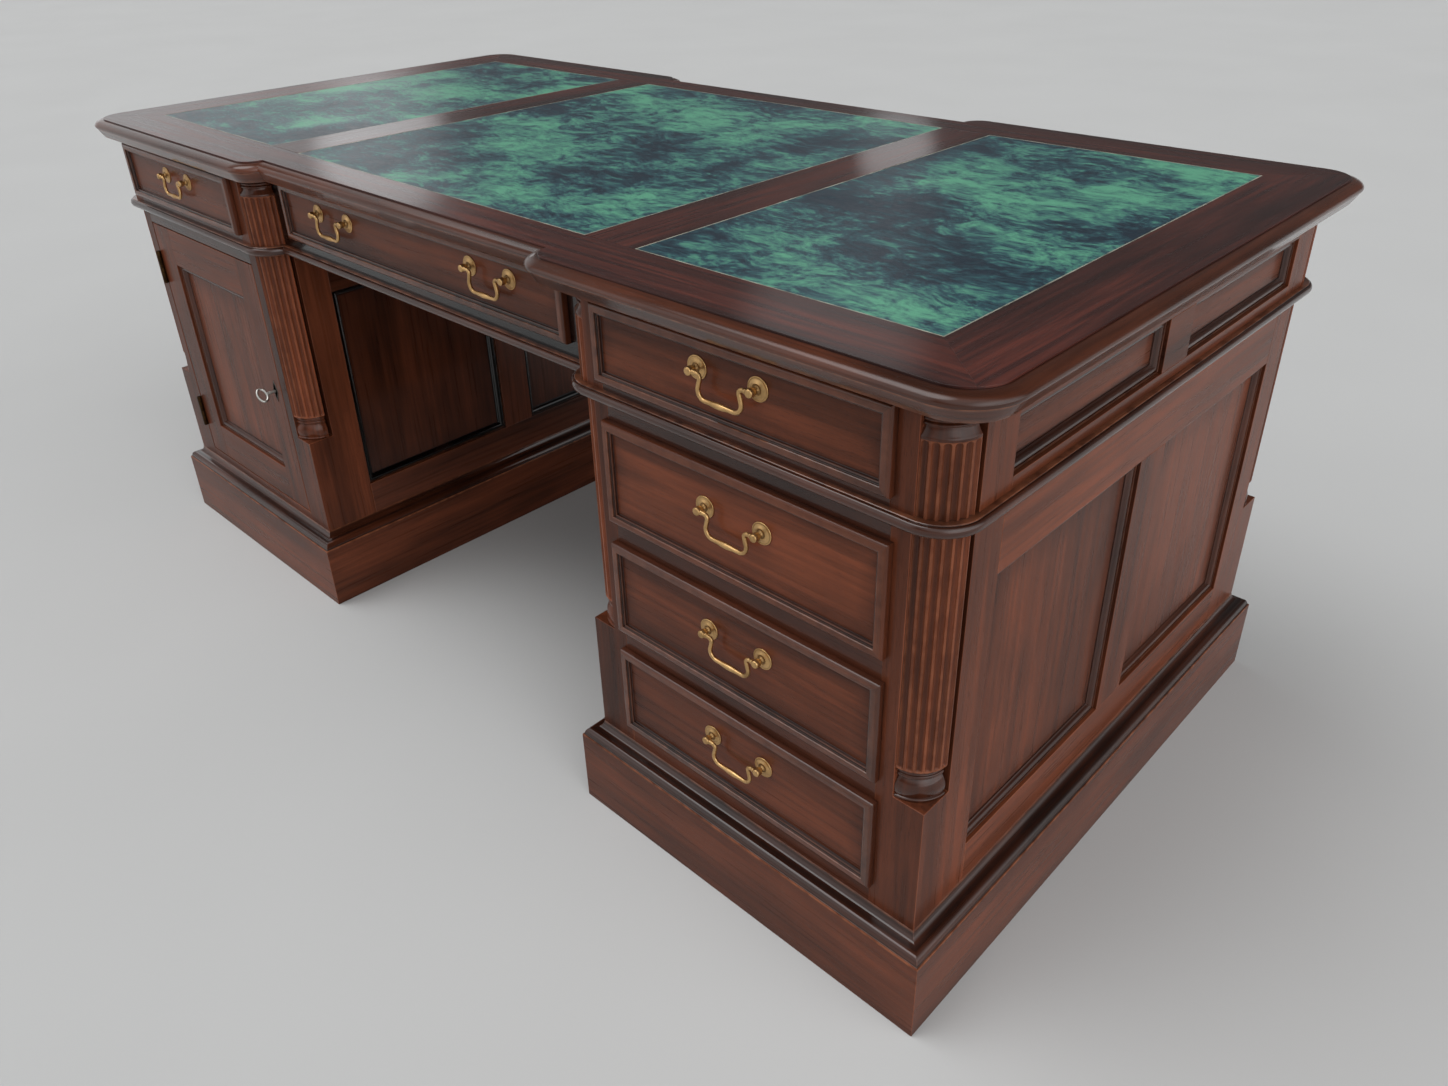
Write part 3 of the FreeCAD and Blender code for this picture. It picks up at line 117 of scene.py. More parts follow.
# Turned outlines of the columns: radius and height; a point that is given twice makes a corner
FOOT = (
    (36.2, 306.0), (36.2, 306.0), (37.0, 307.2), (37.0, 309.0), (35.4, 310.0), (35.4, 310.0), (36.6, 316.0),
    (36.4, 322.0), (34.0, 328.5), (31.2, 332.5), (31.2, 332.5), (33.4, 334.0), (33.4, 337.0), (31.6, 338.2),
    (31.6, 339.8), (31.6, 339.8), (34.0, 341.2), (34.0, 343.0), (33.2, 344.0), (33.2, 344.0), (36.8, 345.9),
    (36.8, 345.9),
)
CAP = (
    (36.9, 719.1), (36.9, 719.1), (36.9, 721.4), (35.2, 724.0), (33.0, 728.0), (32.2, 730.6), (32.2, 730.6),
    (34.0, 731.6), (34.0, 733.4), (32.2, 734.4), (32.2, 734.4), (33.8, 736.0), (33.8, 737.8), (32.0, 739.0),
    (32.0, 739.0), (32.4, 742.0), (34.6, 744.6), (34.6, 747.6), (33.4, 749.0), (33.4, 750.0), (33.4, 750.0),
)

# Steps of the round parts
PROFILE_STEPS = 4
FLUTE_STEPS = 9
RETURN_STEPS = 15
CORNER_STEPS = 21
CORNER_MIDDLE = 1 + RETURN_STEPS + CORNER_STEPS // 2
WAIST_STEPS = 13

# Tone of the dark mouldings, painted shade on the boards' front and rear faces, and tone of the columns'
# shafts
MOULDING = -5.0
FRONT_PAINTED_SHADE = -2.0
SHAFT_TONE = 2.8
# Width of a field's edge that is darkened with painted shade by its moulding, in millimetres
SHADED_EDGE = 34.0
# Boards, in metres: widest narrow rail, darker with old polish and painted shade; reach of the knee hole,
# darker with painted shade; arrises of the top and the lock cases, of the bolts and of the skirting
NARROW_RAIL = 0.042
KNEE_X = 0.385
FINE_ARRIS = 0.0003
BOLT_ARRIS = 0.0005
SKIRTING_ARRIS = 0.0009
# Least cosine of a face to the front or the rear, and the angle up to which faces are one flat
FACING = 0.99
FLAT_DEGREES = 0.5
# Random draws: their seed, and how far off a board's grain may start
SEED = 5
GRAIN_SPREAD = 20.0

# Soft light of the studio: where it comes from, the cosines at its edge and where it is full, its strength
SOFT_BOXES = (
    ((-0.36, -0.26, 0.9), 0.9, 0.985, 3.7),
    ((-0.58, -0.73, 0.36), 0.85, 0.98, 0.9),
    ((0.98, 0.0, 0.21), 0.6, 0.98, 1.8),
    ((0.45, -0.45, 0.77), 0.6, 0.98, 0.9),
    ((-0.98, 0.05, 0.21), 0.85, 0.99, 0.6),
    ((-0.92, 0.35, 0.16), 0.97, 0.995, 0.1),
    ((-0.85, 0.48, 0.2), 0.998, 0.9993, 1.1),
    ((-0.561, 0.798, 0.22), 0.9992, 0.9998, 1.0),
    ((-0.573, 0.73, 0.372), 0.995, 0.999, 0.45),
    ((0.0, 0.0, -1.0), -0.14, -0.01, 0.42),
)
BASE_LIGHT = 0.08
LIGHT_COLOUR = (0.98, 0.99, 1.0, 1.0)
FLOOR_REACH = 60.0

# Camera of the photograph: lens and shift, the picture's right, down and ahead, and the place of the eye
LENS = {"sensor_width": 36.0, "sensor_fit": "HORIZONTAL", "lens": 27.569, "shift_x": 0.00356,
        "shift_y": -0.03795, "clip_end": 200.0}
EYE_RIGHT = np.array((0.722618, 0.690792, -0.025099))
EYE_DOWN = np.array((0.324149, -0.370705, -0.870348))
EYE_AHEAD = np.array((-0.610533, 0.620793, -0.491798))
EYE_PLACE = (1.29371, -1.13384, 1.14236)


def length(name, text, default):
    """A size in metres that a user may change."""
    return FloatProperty(name=name, description=text, default=default, min=0.0, unit="LENGTH", precision=5)


def linear(shade):
    """A colour given as three numbers to 255, as linear light."""
    part = np.array(shade) / 255.0
    return tuple(np.where(part <= 0.04045, part / 12.92, ((part + 0.055) / 1.055) ** 2.4).tolist())


def colour(name, text, shade):
    """A colour that a user may change."""
    return FloatVectorProperty(name=name, description=text, default=linear(shade), min=0.0, max=1.0,
                               size=3, subtype="COLOR")


class DeskSizes(bpy.types.PropertyGroup):
    """Sizes of the finer work on the desk."""
    corner_round: length("Corner round", "Radius of the top's outer corners", 0.045)
    return_round: length("Return round", "Radius of the top's corners beside the middle", 0.028)
    flat_x: length("Flat half length", "Middle to the end of the top's flat", 0.898)
    flat_y: length("Flat half depth", "Middle to the front of the top's flat at the ends", 0.440)
    flat_centre: length("Flat at the middle", "Middle to the flat's front at the knee hole", 0.412)
    flat_return: length("Flat return", "Middle to the flat's return beside the knee hole", 0.331)
    edge_bead: length("Edge bead", "The top's bead stands out from the flat", 0.016)
    quirk: length("Quirk", "Step down from the flat to the bead", 0.0022)
    tool_line: length("Tooled line", "Width of the pale line round a leather", 0.0016)
    arris: length("Arris", "Rounding of the boards' edges", 0.0006)
    flute_depth: length("Flute depth", "Depth of the columns' flutes", 0.0028)
    flute_width: length("Flute width", "Width of the columns' flutes", 0.0072)
    column_radius: length("Column radius", "Radius of the fluted quarter columns", 0.037)
    waist_out: length("Waist bead", "The waist moulding stands out", 0.0105)
    plinth_out: length("Skirting", "Thickness of the skirting", 0.023)
    wire: length("Handle wire", "Radius of a handle's bail", 0.0025)
    olive: length("Olive", "Radius of the swelling in a bail", 0.0035)
    rosette: length("Rosette", "Radius of a handle's rosette", 0.013)
    flutes: IntProperty(name="Flutes", description="Flutes on a quarter column", default=6, min=2, max=12)


class DeskColours(bpy.types.PropertyGroup):
    """Colours of the desk's finishes and of the stage."""
    wood_dark: colour("Mahogany, dark", "Dark streaks of the polished mahogany", (52, 27, 18))
    wood_mid: colour("Mahogany", "Ground of the polished mahogany", (97, 51, 32))
    wood_light: colour("Mahogany, light", "Light streaks of the polished mahogany", (120, 63, 40))
    top_dark: colour("Top, dark", "Dark streaks of the top's frame", (36, 22, 20))
    top_mid: colour("Top", "Ground of the top's frame", (62, 32, 28))
    top_light: colour("Top, light", "Red streaks of the top's frame", (98, 48, 38))
    # Worn arris: polish rubbed through, and a painted highlight on crests and arrises
    worn_and_highlight: colour("Worn arris", "Polish rubbed through at an edge", (152, 94, 66))
    # Grime: old polish and dust in grooves, and painted shade in quirks, hollows and by the mouldings
    grime_and_shade: colour("Grime and shade", "Old polish and dust in a groove", (20, 11, 10))
    lining_dark: colour("Lining, dark", "Dark streaks of the drawer linings", (104, 70, 46))
    lining_light: colour("Lining", "Ground of the drawer linings", (150, 110, 76))
    leather_dark: colour("Leather, dark", "Blue-black clouds of the leather", (20, 40, 54))
    leather_mid: colour("Leather", "Ground of the leather", (46, 88, 96))
    leather_light: colour("Leather, light", "Emerald clouds of the leather", (96, 168, 136))
    tooling: colour("Tooled line", "Pale line round a leather", (176, 176, 160))
    brass: colour("Brass", "Bright places of the handles", (210, 170, 116))
    brass_dull: colour("Brass, dull", "Tarnish in the handles' hollows", (104, 76, 46))
    steel: colour("Steel", "Key and locks", (206, 204, 198))
    floor: colour("Floor", "Floor of the stage", (199, 199, 198))


# Surfaces

def triples(first, second, third):
    """Three arrays or numbers spread over one another's shape, as values in threes."""
    return np.stack(np.broadcast_arrays(first, second, third), axis=-1)


def lifted(places, height):
    """Flat places in millimetres, each at a height, as points in metres."""
    return triples(places[..., 0], places[..., 1], height) * MM


def quads(rows, columns, wrap_rows=False, wrap_columns=False):
    """Four-cornered faces of a grid of points, from each point to the next column and the next row."""
    row = np.arange(rows if wrap_rows else rows - 1)[:, None]
    column = np.arange(columns if wrap_columns else columns - 1)[None, :]
    near, far = row * columns, (row + 1) % rows * columns
    after = (column + 1) % columns
    return np.stack([near + column, near + after, far + after, far + column], axis=-1).reshape(-1, 4)


class Shape:
    """Points in metres; blocks of faces with like numbers of corners; grain and finish of each face corner.

    Grain is a place in the timber: along the grain, across and through. Finish is wear, partly a painted
    highlight, grime, partly painted shade, and tone, which paints shade in the knee hole.
    """

    def __init__(self, points, faces, grain, finish):
        self.points = points
        self.faces = faces
        self.grain = grain
        self.finish = finish


def grid(points, grain=None, finish=None, wrap_rows=False, wrap_columns=False, caps=False):
    """A surface of two parameters, points[row, column], closed where it wraps and at its ends by caps.

    Where the surface wraps, grain has one row or column more than points, so that it runs on unbroken.
    """
    rows, columns = points.shape[:2]
    spread = points if grain is None else grain
    finish = np.zeros(points.shape) if finish is None else finish
    body = quads(rows, columns, wrap_rows, wrap_columns)
    over = body if grain is None else quads(*grain.shape[:2])
    faces, grains, finishes = [body], [spread.reshape(-1, 3)[over]], [finish.reshape(-1, 3)[body]]
    if caps:
        for row, order in ((0, slice(None, None, -1)), (rows - 1, slice(None))):
            faces.append((row * columns + np.arange(columns))[order][None])
            grains.append(spread[row, :columns][order][None])
            finishes.append(finish[row][order][None])
    return outward(Shape(points.reshape(-1, 3), faces, grains, finishes))


def outward(shape):
    """The closed shape with its faces turned outwards: the volume under fans of its faces is above zero."""
    volume = 0.0
    for block in shape.faces:
        corner = shape.points[block]
        first = np.broadcast_to(corner[:, :1], corner[:, 1:-1].shape)
        volume += np.einsum("mki,mki->", first, np.cross(corner[:, 1:-1], corner[:, 2:]))
    if volume < 0:
        shape.faces = [block[:, ::-1] for block in shape.faces]
        shape.grain = [block[:, ::-1] for block in shape.grain]
        shape.finish = [block[:, ::-1] for block in shape.finish]
    return shape


def joined(shapes):
    """Several shapes as one."""
    starts = np.cumsum([0] + [len(shape.points) for shape in shapes])
    faces = [block + start for shape, start in zip(shapes, starts) for block in shape.faces]
    grain = [block for shape in shapes for block in shape.grain]
    finish = [block for shape in shapes for block in shape.finish]
    return Shape(np.concatenate([shape.points for shape in shapes]), faces, grain, finish)


def placed(shape, turn=0.0, move=(0.0, 0.0, 0.0), chance=None, shade=0.0):
    """A copy turned about the upright through the origin, then moved; chance gives it timber of its own, and
    shade a darker tone, which paints shade on the knee hole's panels."""
    angle = math.radians(turn)
    rotation = np.array([[math.cos(angle), -math.sin(angle), 0.0], [math.sin(angle), math.cos(angle), 0.0],
                         [0.0, 0.0, 1.0]])
    points = shape.points @ rotation.T + np.array(move) * MM
    grain, finish = shape.grain, shape.finish
    if chance is not None:
        start = chance.uniform(0.0, GRAIN_SPREAD, 3)
        tone = np.array([0.0, 0.0, chance.uniform(-1.0, 1.0) + shade])
        grain = [block + start for block in grain]
        finish = [block + tone for block in finish]
    return Shape(points, shape.faces, grain, finish)


def fitted(shape, spot, turn):
    """A copy moved to its spot on the front, then turned with its side of the desk."""
    return placed(placed(shape, 0.0, spot), turn)


def curve(points, steps):
    """A smooth line through points: between two of them, the cubic whose slopes look to both neighbours.

    A point that is given twice makes a corner.
    """
    knots = np.array(points, float)
    ends = np.concatenate([knots[:1], knots, knots[-1:]])
    t = np.linspace(0.0, 1.0, steps, endpoint=False)[None, :, None]
    a, b, c, d = (ends[i:len(ends) - 3 + i, None] for i in range(4))
    square, cube = 2 * a - 5 * b + 4 * c - d, 3 * b - a - 3 * c + d
    line = 0.5 * (2 * b + (c - a) * t + square * t ** 2 + cube * t ** 3)
    line = np.concatenate([line.reshape(-1, knots.shape[1]), knots[-1:]])
    moved = np.linalg.norm(np.diff(line, axis=0), axis=1) > 1e-9
    return line[np.concatenate([[True], moved])]


def arc(centre, radius, start, end, steps):
    """Points of a circle from one angle to another, in degrees."""
    angle = np.radians(np.linspace(start, end, steps))
    return np.stack([centre[0] + radius * np.cos(angle), centre[1] + radius * np.sin(angle)], axis=-1)


def run(points):
    """Distance along a line of points, from its first."""
    return np.concatenate([[0.0], np.cumsum(np.linalg.norm(np.diff(points, axis=0), axis=1))])


def around(steps):
    """Angles of a whole turn, in even steps."""
    return np.linspace(0.0, 2 * np.pi, steps, endpoint=False)


def lathe(profile, segments, grime_and_shade=None):
    """A turned form about the y axis: each radius and distance to the front goes round a circle."""
    angle = around(segments)[None, :]
    radius, out = profile[:, :1], profile[:, 1:]
    points = triples(radius * np.cos(angle), -out, radius * np.sin(angle)) * MM
    finish = np.zeros(points.shape)
    # The second part of the finish: grime and painted shade on timber, tarnish in the hollows on the brass
    if grime_and_shade is not None:
        finish[..., 1] = grime_and_shade[:, None]
    return grid(points, finish=finish, wrap_columns=True, caps=True)


def tube(path, radius, side, segments, closed=False):
    """A round wire: a circle of the given radius at each point of a flat path, square to it; side is the
    direction square to the plane of the path."""
    step = np.roll(path, -1, axis=0) - np.roll(path, 1, axis=0) if closed else np.gradient(path, axis=0)
    ahead = step / np.linalg.norm(step, axis=1, keepdims=True)
    across = np.cross(ahead, side)
    angle = around(segments)[None, :, None]
    ring = np.cos(angle) * across[:, None] + np.sin(angle) * np.array(side)[None, None]
    points = path[:, None] + ring * np.broadcast_to(radius, len(path))[:, None, None]
    return grid(points, wrap_rows=closed, wrap_columns=True, caps=not closed)


def nested(stations, finish, field_rings, level_field):
    """A rectangular face in steps: each station is left, right, bottom, top and distance to the front.

    The four runs of a step meet in mitres and carry their grain along themselves. The back and the field,
    with its last rings, are one board, whose grain lies level or upright.
    """
    level_start, field_start = 7.0, 3.0
    left, right, low, high, out = np.array(stations, float).T * MM
    points = np.stack([triples(left, -out, low), triples(right, -out, low), triples(right, -out, high),
                       triples(left, -out, high)], axis=1)
    rows = len(points)
    body = quads(rows, 4, wrap_columns=True)
    corner = points.reshape(-1, 3)[body]
    level = np.tile(np.array([True, False, True, False]), rows - 1)[:, None]
    along = np.where(level, corner[..., 0], corner[..., 2])
    across = np.where(level, corner[..., 2], corner[..., 0])
    worked = np.stack([along, across, corner[..., 1]], axis=-1) + level[..., None] * level_start
    caps = [np.arange(4)[::-1][None], (rows * 4 - 4 + np.arange(4))[None]]
    order = [0, 2, 1] if level_field else [2, 0, 1]
    worked[-4 * field_rings:] = corner[-4 * field_rings:, :, order] + field_start
    flat = [points.reshape(-1, 3)[cap][..., order] + field_start for cap in caps]
    each = np.repeat(np.array(finish, float)[:, None], 4, axis=1).reshape(-1, 3)
    faces = [body] + caps
    return outward(Shape(points.reshape(-1, 3), faces, [worked] + flat, [each[block] for block in faces]))


def prism(outline, low, high, along):
    """A flat board: an outline in x and y carried from one height to another; along is its grain's axis."""
    shape = grid(lifted(outline[None], np.array([[low], [high]])), wrap_columns=True, caps=True)
    order = [0, 1, 2] if along == 0 else [1, 0, 2]
    shape.grain = [block[..., order] for block in shape.grain]
    return shape


# Pieces

def make_piece(name, shape, nodes, body="desk", finishes=("polished_mahogany",),
               smooth=30.0):
    """A mesh object from a shape, with its grain and finish, riding on a body of the frame."""
    mesh = bpy.data.meshes.new(name)
    mesh.from_pydata(shape.points.tolist(), [], [row for block in shape.faces for row in block.tolist()])
    for key, blocks in (("grain", shape.grain), ("finish", shape.finish)):
        values = np.concatenate([block.reshape(-1, 3) for block in blocks])
        mesh.attributes.new(key, "FLOAT_VECTOR", "CORNER").data.foreach_set("vector", values.ravel())
    return fit_piece(name, mesh, nodes, body, finishes, smooth)


def fit_piece(name, mesh, nodes, body, finishes, smooth):
    """An object for a mesh: shaded smooth below the given angle, with its materials, riding on its body."""
    mesh.shade_smooth()
    mesh.set_sharp_from_angle(angle=math.radians(smooth))
    for finish in finishes:
        mesh.materials.append(bpy.data.materials[finish])
    piece = bpy.data.objects.new(name, mesh)
    bpy.context.scene.collection.objects.link(piece)
    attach(piece, body)
    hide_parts(*nodes)
    return piece


def ease_edges(piece, width, angle=30.0):
    """Fine round arrises on a piece, in its second material where it has one, such as the worn arris, which
    also paints a highlight.
    """
    bevel = piece.modifiers.new("arris", "BEVEL")
    bevel.width = width
    bevel.segments = 2
    bevel.limit_method = "ANGLE"
    bevel.angle_limit = math.radians(angle)
    bevel.harden_normals = True
    bevel.material = len(piece.data.materials) - 1


def solids(node):
    """Points of a frame node, its triangles, and the number of the solid that each triangle belongs to.

    Every edge of a closed solid is run once each way, so a running sum of signed edge numbers is zero where
    a solid ends.
    """
    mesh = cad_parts[node].data
    corner = np.empty(len(mesh.loops), np.int32)
    mesh.loops.foreach_get("vertex_index", corner)
    place = np.empty(len(mesh.vertices) * 3, np.float32)
    mesh.vertices.foreach_get("co", place)
    points, number = np.unique(np.round(place.reshape(-1, 3).astype(float), 6), axis=0, return_inverse=True)
    triangles = number.ravel()[corner].reshape(-1, 3)
    mark = np.random.default_rng(SEED).integers(1, 2 ** 62, (2, len(points)), dtype=np.uint64)
    ahead = np.roll(triangles, -1, axis=1)
    edge = mark[0][np.minimum(triangles, ahead)] * mark[1][np.maximum(triangles, ahead)]
    signed = np.where(triangles < ahead, edge, np.uint64(0) - edge)
    total = np.cumsum(signed.sum(axis=1, dtype=np.uint64), dtype=np.uint64)
    owner = np.concatenate([[0], np.cumsum(total == 0)[:-1]])
    return points, triangles, owner


def board_piece(name, node, body, finishes, width, first=0):
    """Boards of a frame node as one piece: each solid is merged, its flat faces made whole, its grain laid
    along its longest side from a place of its own, and its arrises eased.

    Solids before the first are left out. Narrow rails are darker with old polish and painted shade; the knee
    hole's boards and faces to the front or the rear are darker with painted shade.
    """
    points, triangles, owner = solids(node)
    kept = owner >= first
    code, index = np.unique(owner[kept][:, None] * len(points) + triangles[kept], return_inverse=True)
    place, owner = points[code % len(points)], code // len(points) - first
    count = owner.max() + 1
    low = np.full((count, 3), np.inf)
    high = np.full((count, 3), -np.inf)
    np.minimum.at(low, owner, place)
    np.maximum.at(high, owner, place)
    order = np.argsort(low - high, axis=1)
    chance = np.random.default_rng(SEED)
    start = chance.uniform(0.0, GRAIN_SPREAD, (count, 3))
    grain = np.take_along_axis(place, order[owner], axis=1) + start[owner]
    finish = np.zeros(place.shape)
    # Narrow rails get old polish and painted shade, the knee hole's boards painted shade
    narrow = np.sort(high - low, axis=1)[:, 1] < NARROW_RAIL
    knee = np.abs(low + high)[:, 0] / 2 < KNEE_X
    tone = chance.uniform(-1.0, 1.0, count) + MOULDING * (0.6 * narrow + 0.5 * knee)
    finish[:, 2] = tone[owner]
    mesh = bpy.data.meshes.new(name)
    mesh.from_pydata(place.tolist(), [], index.reshape(-1, 3).tolist())
    for key, values in (("grain", grain), ("finish", finish)):
        mesh.attributes.new(key, "FLOAT_VECTOR", "POINT").data.foreach_set("vector", values.ravel())
    merged = bmesh.new()
    merged.from_mesh(mesh)
    bmesh.ops.dissolve_limit(merged, angle_limit=math.radians(FLAT_DEGREES), verts=merged.verts,
                             edges=merged.edges)
    merged.to_mesh(mesh)
    merged.free()
    # Faces to the front or the rear get painted shade, darker than the ends, tops and edges
    normal = np.empty(len(mesh.polygons) * 3, np.float32)
    mesh.polygons.foreach_get("normal", normal)
    shade = np.where(np.abs(normal[1::3]) > FACING, FRONT_PAINTED_SHADE, 0.0)
    mesh.attributes.new("shade", "FLOAT", "FACE").data.foreach_set("value", shade)
    ease_edges(fit_piece(name, mesh, [node], body, finishes, 30.0), width)


class DeskOperator:
    """What the operators share: each makes its pieces in the scene."""

    def execute(self, context):
        self.make(context.scene)
        return {"FINISHED"}


def top_outline(sizes, offset):
    """A quarter of the top's outline, from the middle of the front to the middle of the right end, in
    millimetres: a straight, a round return, a straight, a round corner and a straight, offset outwards."""
    x, y, centre = sizes.flat_x / MM, sizes.flat_y / MM, sizes.flat_centre / MM
    outer, inner = sizes.corner_round / MM, sizes.return_round / MM
    turn = math.degrees(math.asin(offset / (inner + offset)))
    hub = (sizes.flat_return / MM + inner, -y + inner)
    back = arc(hub, inner + offset, 180.0 + turn, 270.0, RETURN_STEPS)
    corner = arc((x - outer, outer - y), outer + offset, 270.0, 360.0, CORNER_STEPS)
    return np.concatenate([[[0.0, -centre - offset]], back, corner, [[x + offset, 0.0]]])


def whole_outline(quarter):
    """A quarter of an outline mirrored to the rear, then turned half a turn, as one closed line."""
    half = np.concatenate([quarter, quarter[-2::-1] * [1, -1]])
    return np.concatenate([half[:-1], -half[:-1]])


def edge_section(sizes):
    """Section of the top's edge from the foot of the fascia to the quirk: distance out, distance down, wear,
    which paints a highlight on the arris, and grime, which paints shade under the bead and in the quirk."""
    drop = sizes.quirk / MM
    nose_tall = 8.6
    foot = [(-6.0, 30.0, 0, 0), (4.0, 30.0, 0, 0.3), (5.0, 29.6, 0.5, 0), (8.5, 24.0, 0, 0),
            (12.6, 16.8, 0, 0)]
    # Painted highlight on the arris of the fascia, painted shadow in the undercut below the bead
    arris = [(13.9, 14.7, 0.5, 0), (14.3, 14.0, 1, 0), (14.2, 13.4, 0.6, 0.2), (13.2, 13.1, 0, 1),
             (12.6, 12.8, 0, 1), (13.6, 12.4, 0, 0.8)]
    turn = np.radians(np.linspace(105.0, 0.0, 15))[:, None]
    out = sizes.edge_bead / MM * np.sin(turn)
    bead = np.hstack([out, drop + nose_tall * (1 - np.cos(turn)), turn * 0, turn * 0])
    # Painted shade in the quirk above the bead
    bead[-1, 3] = 1.0
    return np.concatenate([foot, arris, bead, [(-6.0, drop, 0, 1)]])


class DESK_OT_top_edge(DeskOperator, bpy.types.Operator):
    """Body of the top: the edge moulding carried round the breakfront outline."""
    bl_idname = "desk.top_edge"
    bl_label = "Top's moulded edge"

    def make(self, scene):
        sizes = scene.desk_sizes
        section = edge_section(sizes)
        arris_row = 6
        lines = np.stack([whole_outline(top_outline(sizes, out)) for out in section[:, 0]])
        points = lifted(lines, (DESK_TOP - section[:, 1])[:, None])
        finish = np.zeros(points.shape)
        finish[..., :2] = section[:, None, 2:]
        finish[..., 2] = MOULDING * 0.8
        loop = run(np.concatenate([lines[arris_row], lines[arris_row][:1]])) * MM
        grain = triples(loop[None], run(section[:, :2])[:, None] * MM, 0.0)
        shape = grid(points, grain, finish, wrap_columns=True, caps=True)
        make_piece("top_edge", shape, ["top_frame"])


class DESK_OT_top_boards(DeskOperator, bpy.types.Operator):
    """Frame of the top: long rails and ends mitred at the corners, cross rails butted between the rails."""
    bl_idname = "desk.top_boards"
    bl_label = "Top's frame"

    def make(self, scene):
        sizes = scene.desk_sizes
        quarter = top_outline(sizes, 0.0)
        to_corner, past = quarter[:CORNER_MIDDLE + 1], quarter[CORNER_MIDDLE:]
        inner = np.array([(LEATHER_OUT, -LEATHER_Y), (LEATHER_IN, -LEATHER_Y),
                          (MIDDLE_LEATHER_X, -MIDDLE_LEATHER_Y)])
        rail = np.concatenate([to_corner[:0:-1] * [-1, 1], to_corner, inner, inner[::-1] * [-1, 1]])
        end = np.concatenate([past, past[-2::-1] * [1, -1], inner[:1] * [1, -1], inner[:1]])
        cross = np.array([(MIDDLE_LEATHER_X, -LEATHER_Y), (LEATHER_IN, -LEATHER_Y), (LEATHER_IN, LEATHER_Y),
                          (MIDDLE_LEATHER_X, LEATHER_Y)])
        chance = np.random.default_rng(SEED)
        boards = []
        for outline, along in ((rail, 0), (end, 1), (cross, 1)):
            board = prism(outline, DESK_TOP - sizes.quirk / MM, DESK_TOP, along)
            boards += [placed(board, turn, chance=chance) for turn in (0.0, 180.0)]
        piece = make_piece("top_boards", joined(boards), ["top_frame"], finishes=["top_veneer"])
        ease_edges(piece, FINE_ARRIS)


class DESK_OT_leathers(DeskOperator, bpy.types.Operator):
    """Three writing leathers, each inside a pale tooled line."""
    bl_idname = "desk.leathers"
    bl_label = "Writing leathers"

    def make(self, scene):
        low = DESK_TOP - scene.desk_sizes.quirk / MM
        line = scene.desk_sizes.tool_line / MM
        leather_top, line_top = DESK_TOP - 0.25, DESK_TOP - 0.1
        end_x, end_half = (LEATHER_IN + LEATHER_OUT) / 2, (LEATHER_OUT - LEATHER_IN) / 2
        ring = np.array([(line, low), (0.0, low), (0.0, line_top), (line, line_top)])
        leathers, lines = [], []
        for x, half_x, half_y in ((-end_x, end_half, LEATHER_Y), (0.0, MIDDLE_LEATHER_X, MIDDLE_LEATHER_Y),
                                  (end_x, end_half, LEATHER_Y)):
            outer = CORNERS * (half_x, half_y) + [x, 0.0]
            leathers.append(prism(outer - CORNERS * line, low, leather_top, 0))
            points = lifted(outer - CORNERS * ring[:, :1, None], ring[:, 1:])
            lines.append(grid(points, wrap_rows=True, wrap_columns=True))
        for name, shapes, finish in (("writing_leathers", leathers, "writing_leather"),
                                     ("tooled_lines", lines, "tooled_line")):
            make_piece(name, joined(shapes), ["leather_panels"], finishes=[finish])


class DESK_OT_carcase(DeskOperator, bpy.types.Operator):
    """Boards of the frieze, the pedestals, the doors and the drawer boxes, with eased arrises."""
    bl_idname = "desk.carcase"
    bl_label = "Carcase boards"

    def make(self, scene):
        width = scene.desk_sizes.arris
        polished = ["polished_mahogany", "worn_and_highlight_arris"]
        for node in ("frieze_case", "left_pedestal_case", "right_pedestal_case"):
            board_piece(node + "_boards", node, "desk", polished, width)
        for side, _, _ in SIDES:
            door = side + "_door"
            board_piece(door + "_boards", door + "_frame", door, polished, width)
            for row in DRAWERS:
                drawer = f"{side}_{row[0]}_drawer"
                board_piece(drawer + "_box", drawer, drawer, ["drawer_lining"], width, first=1)


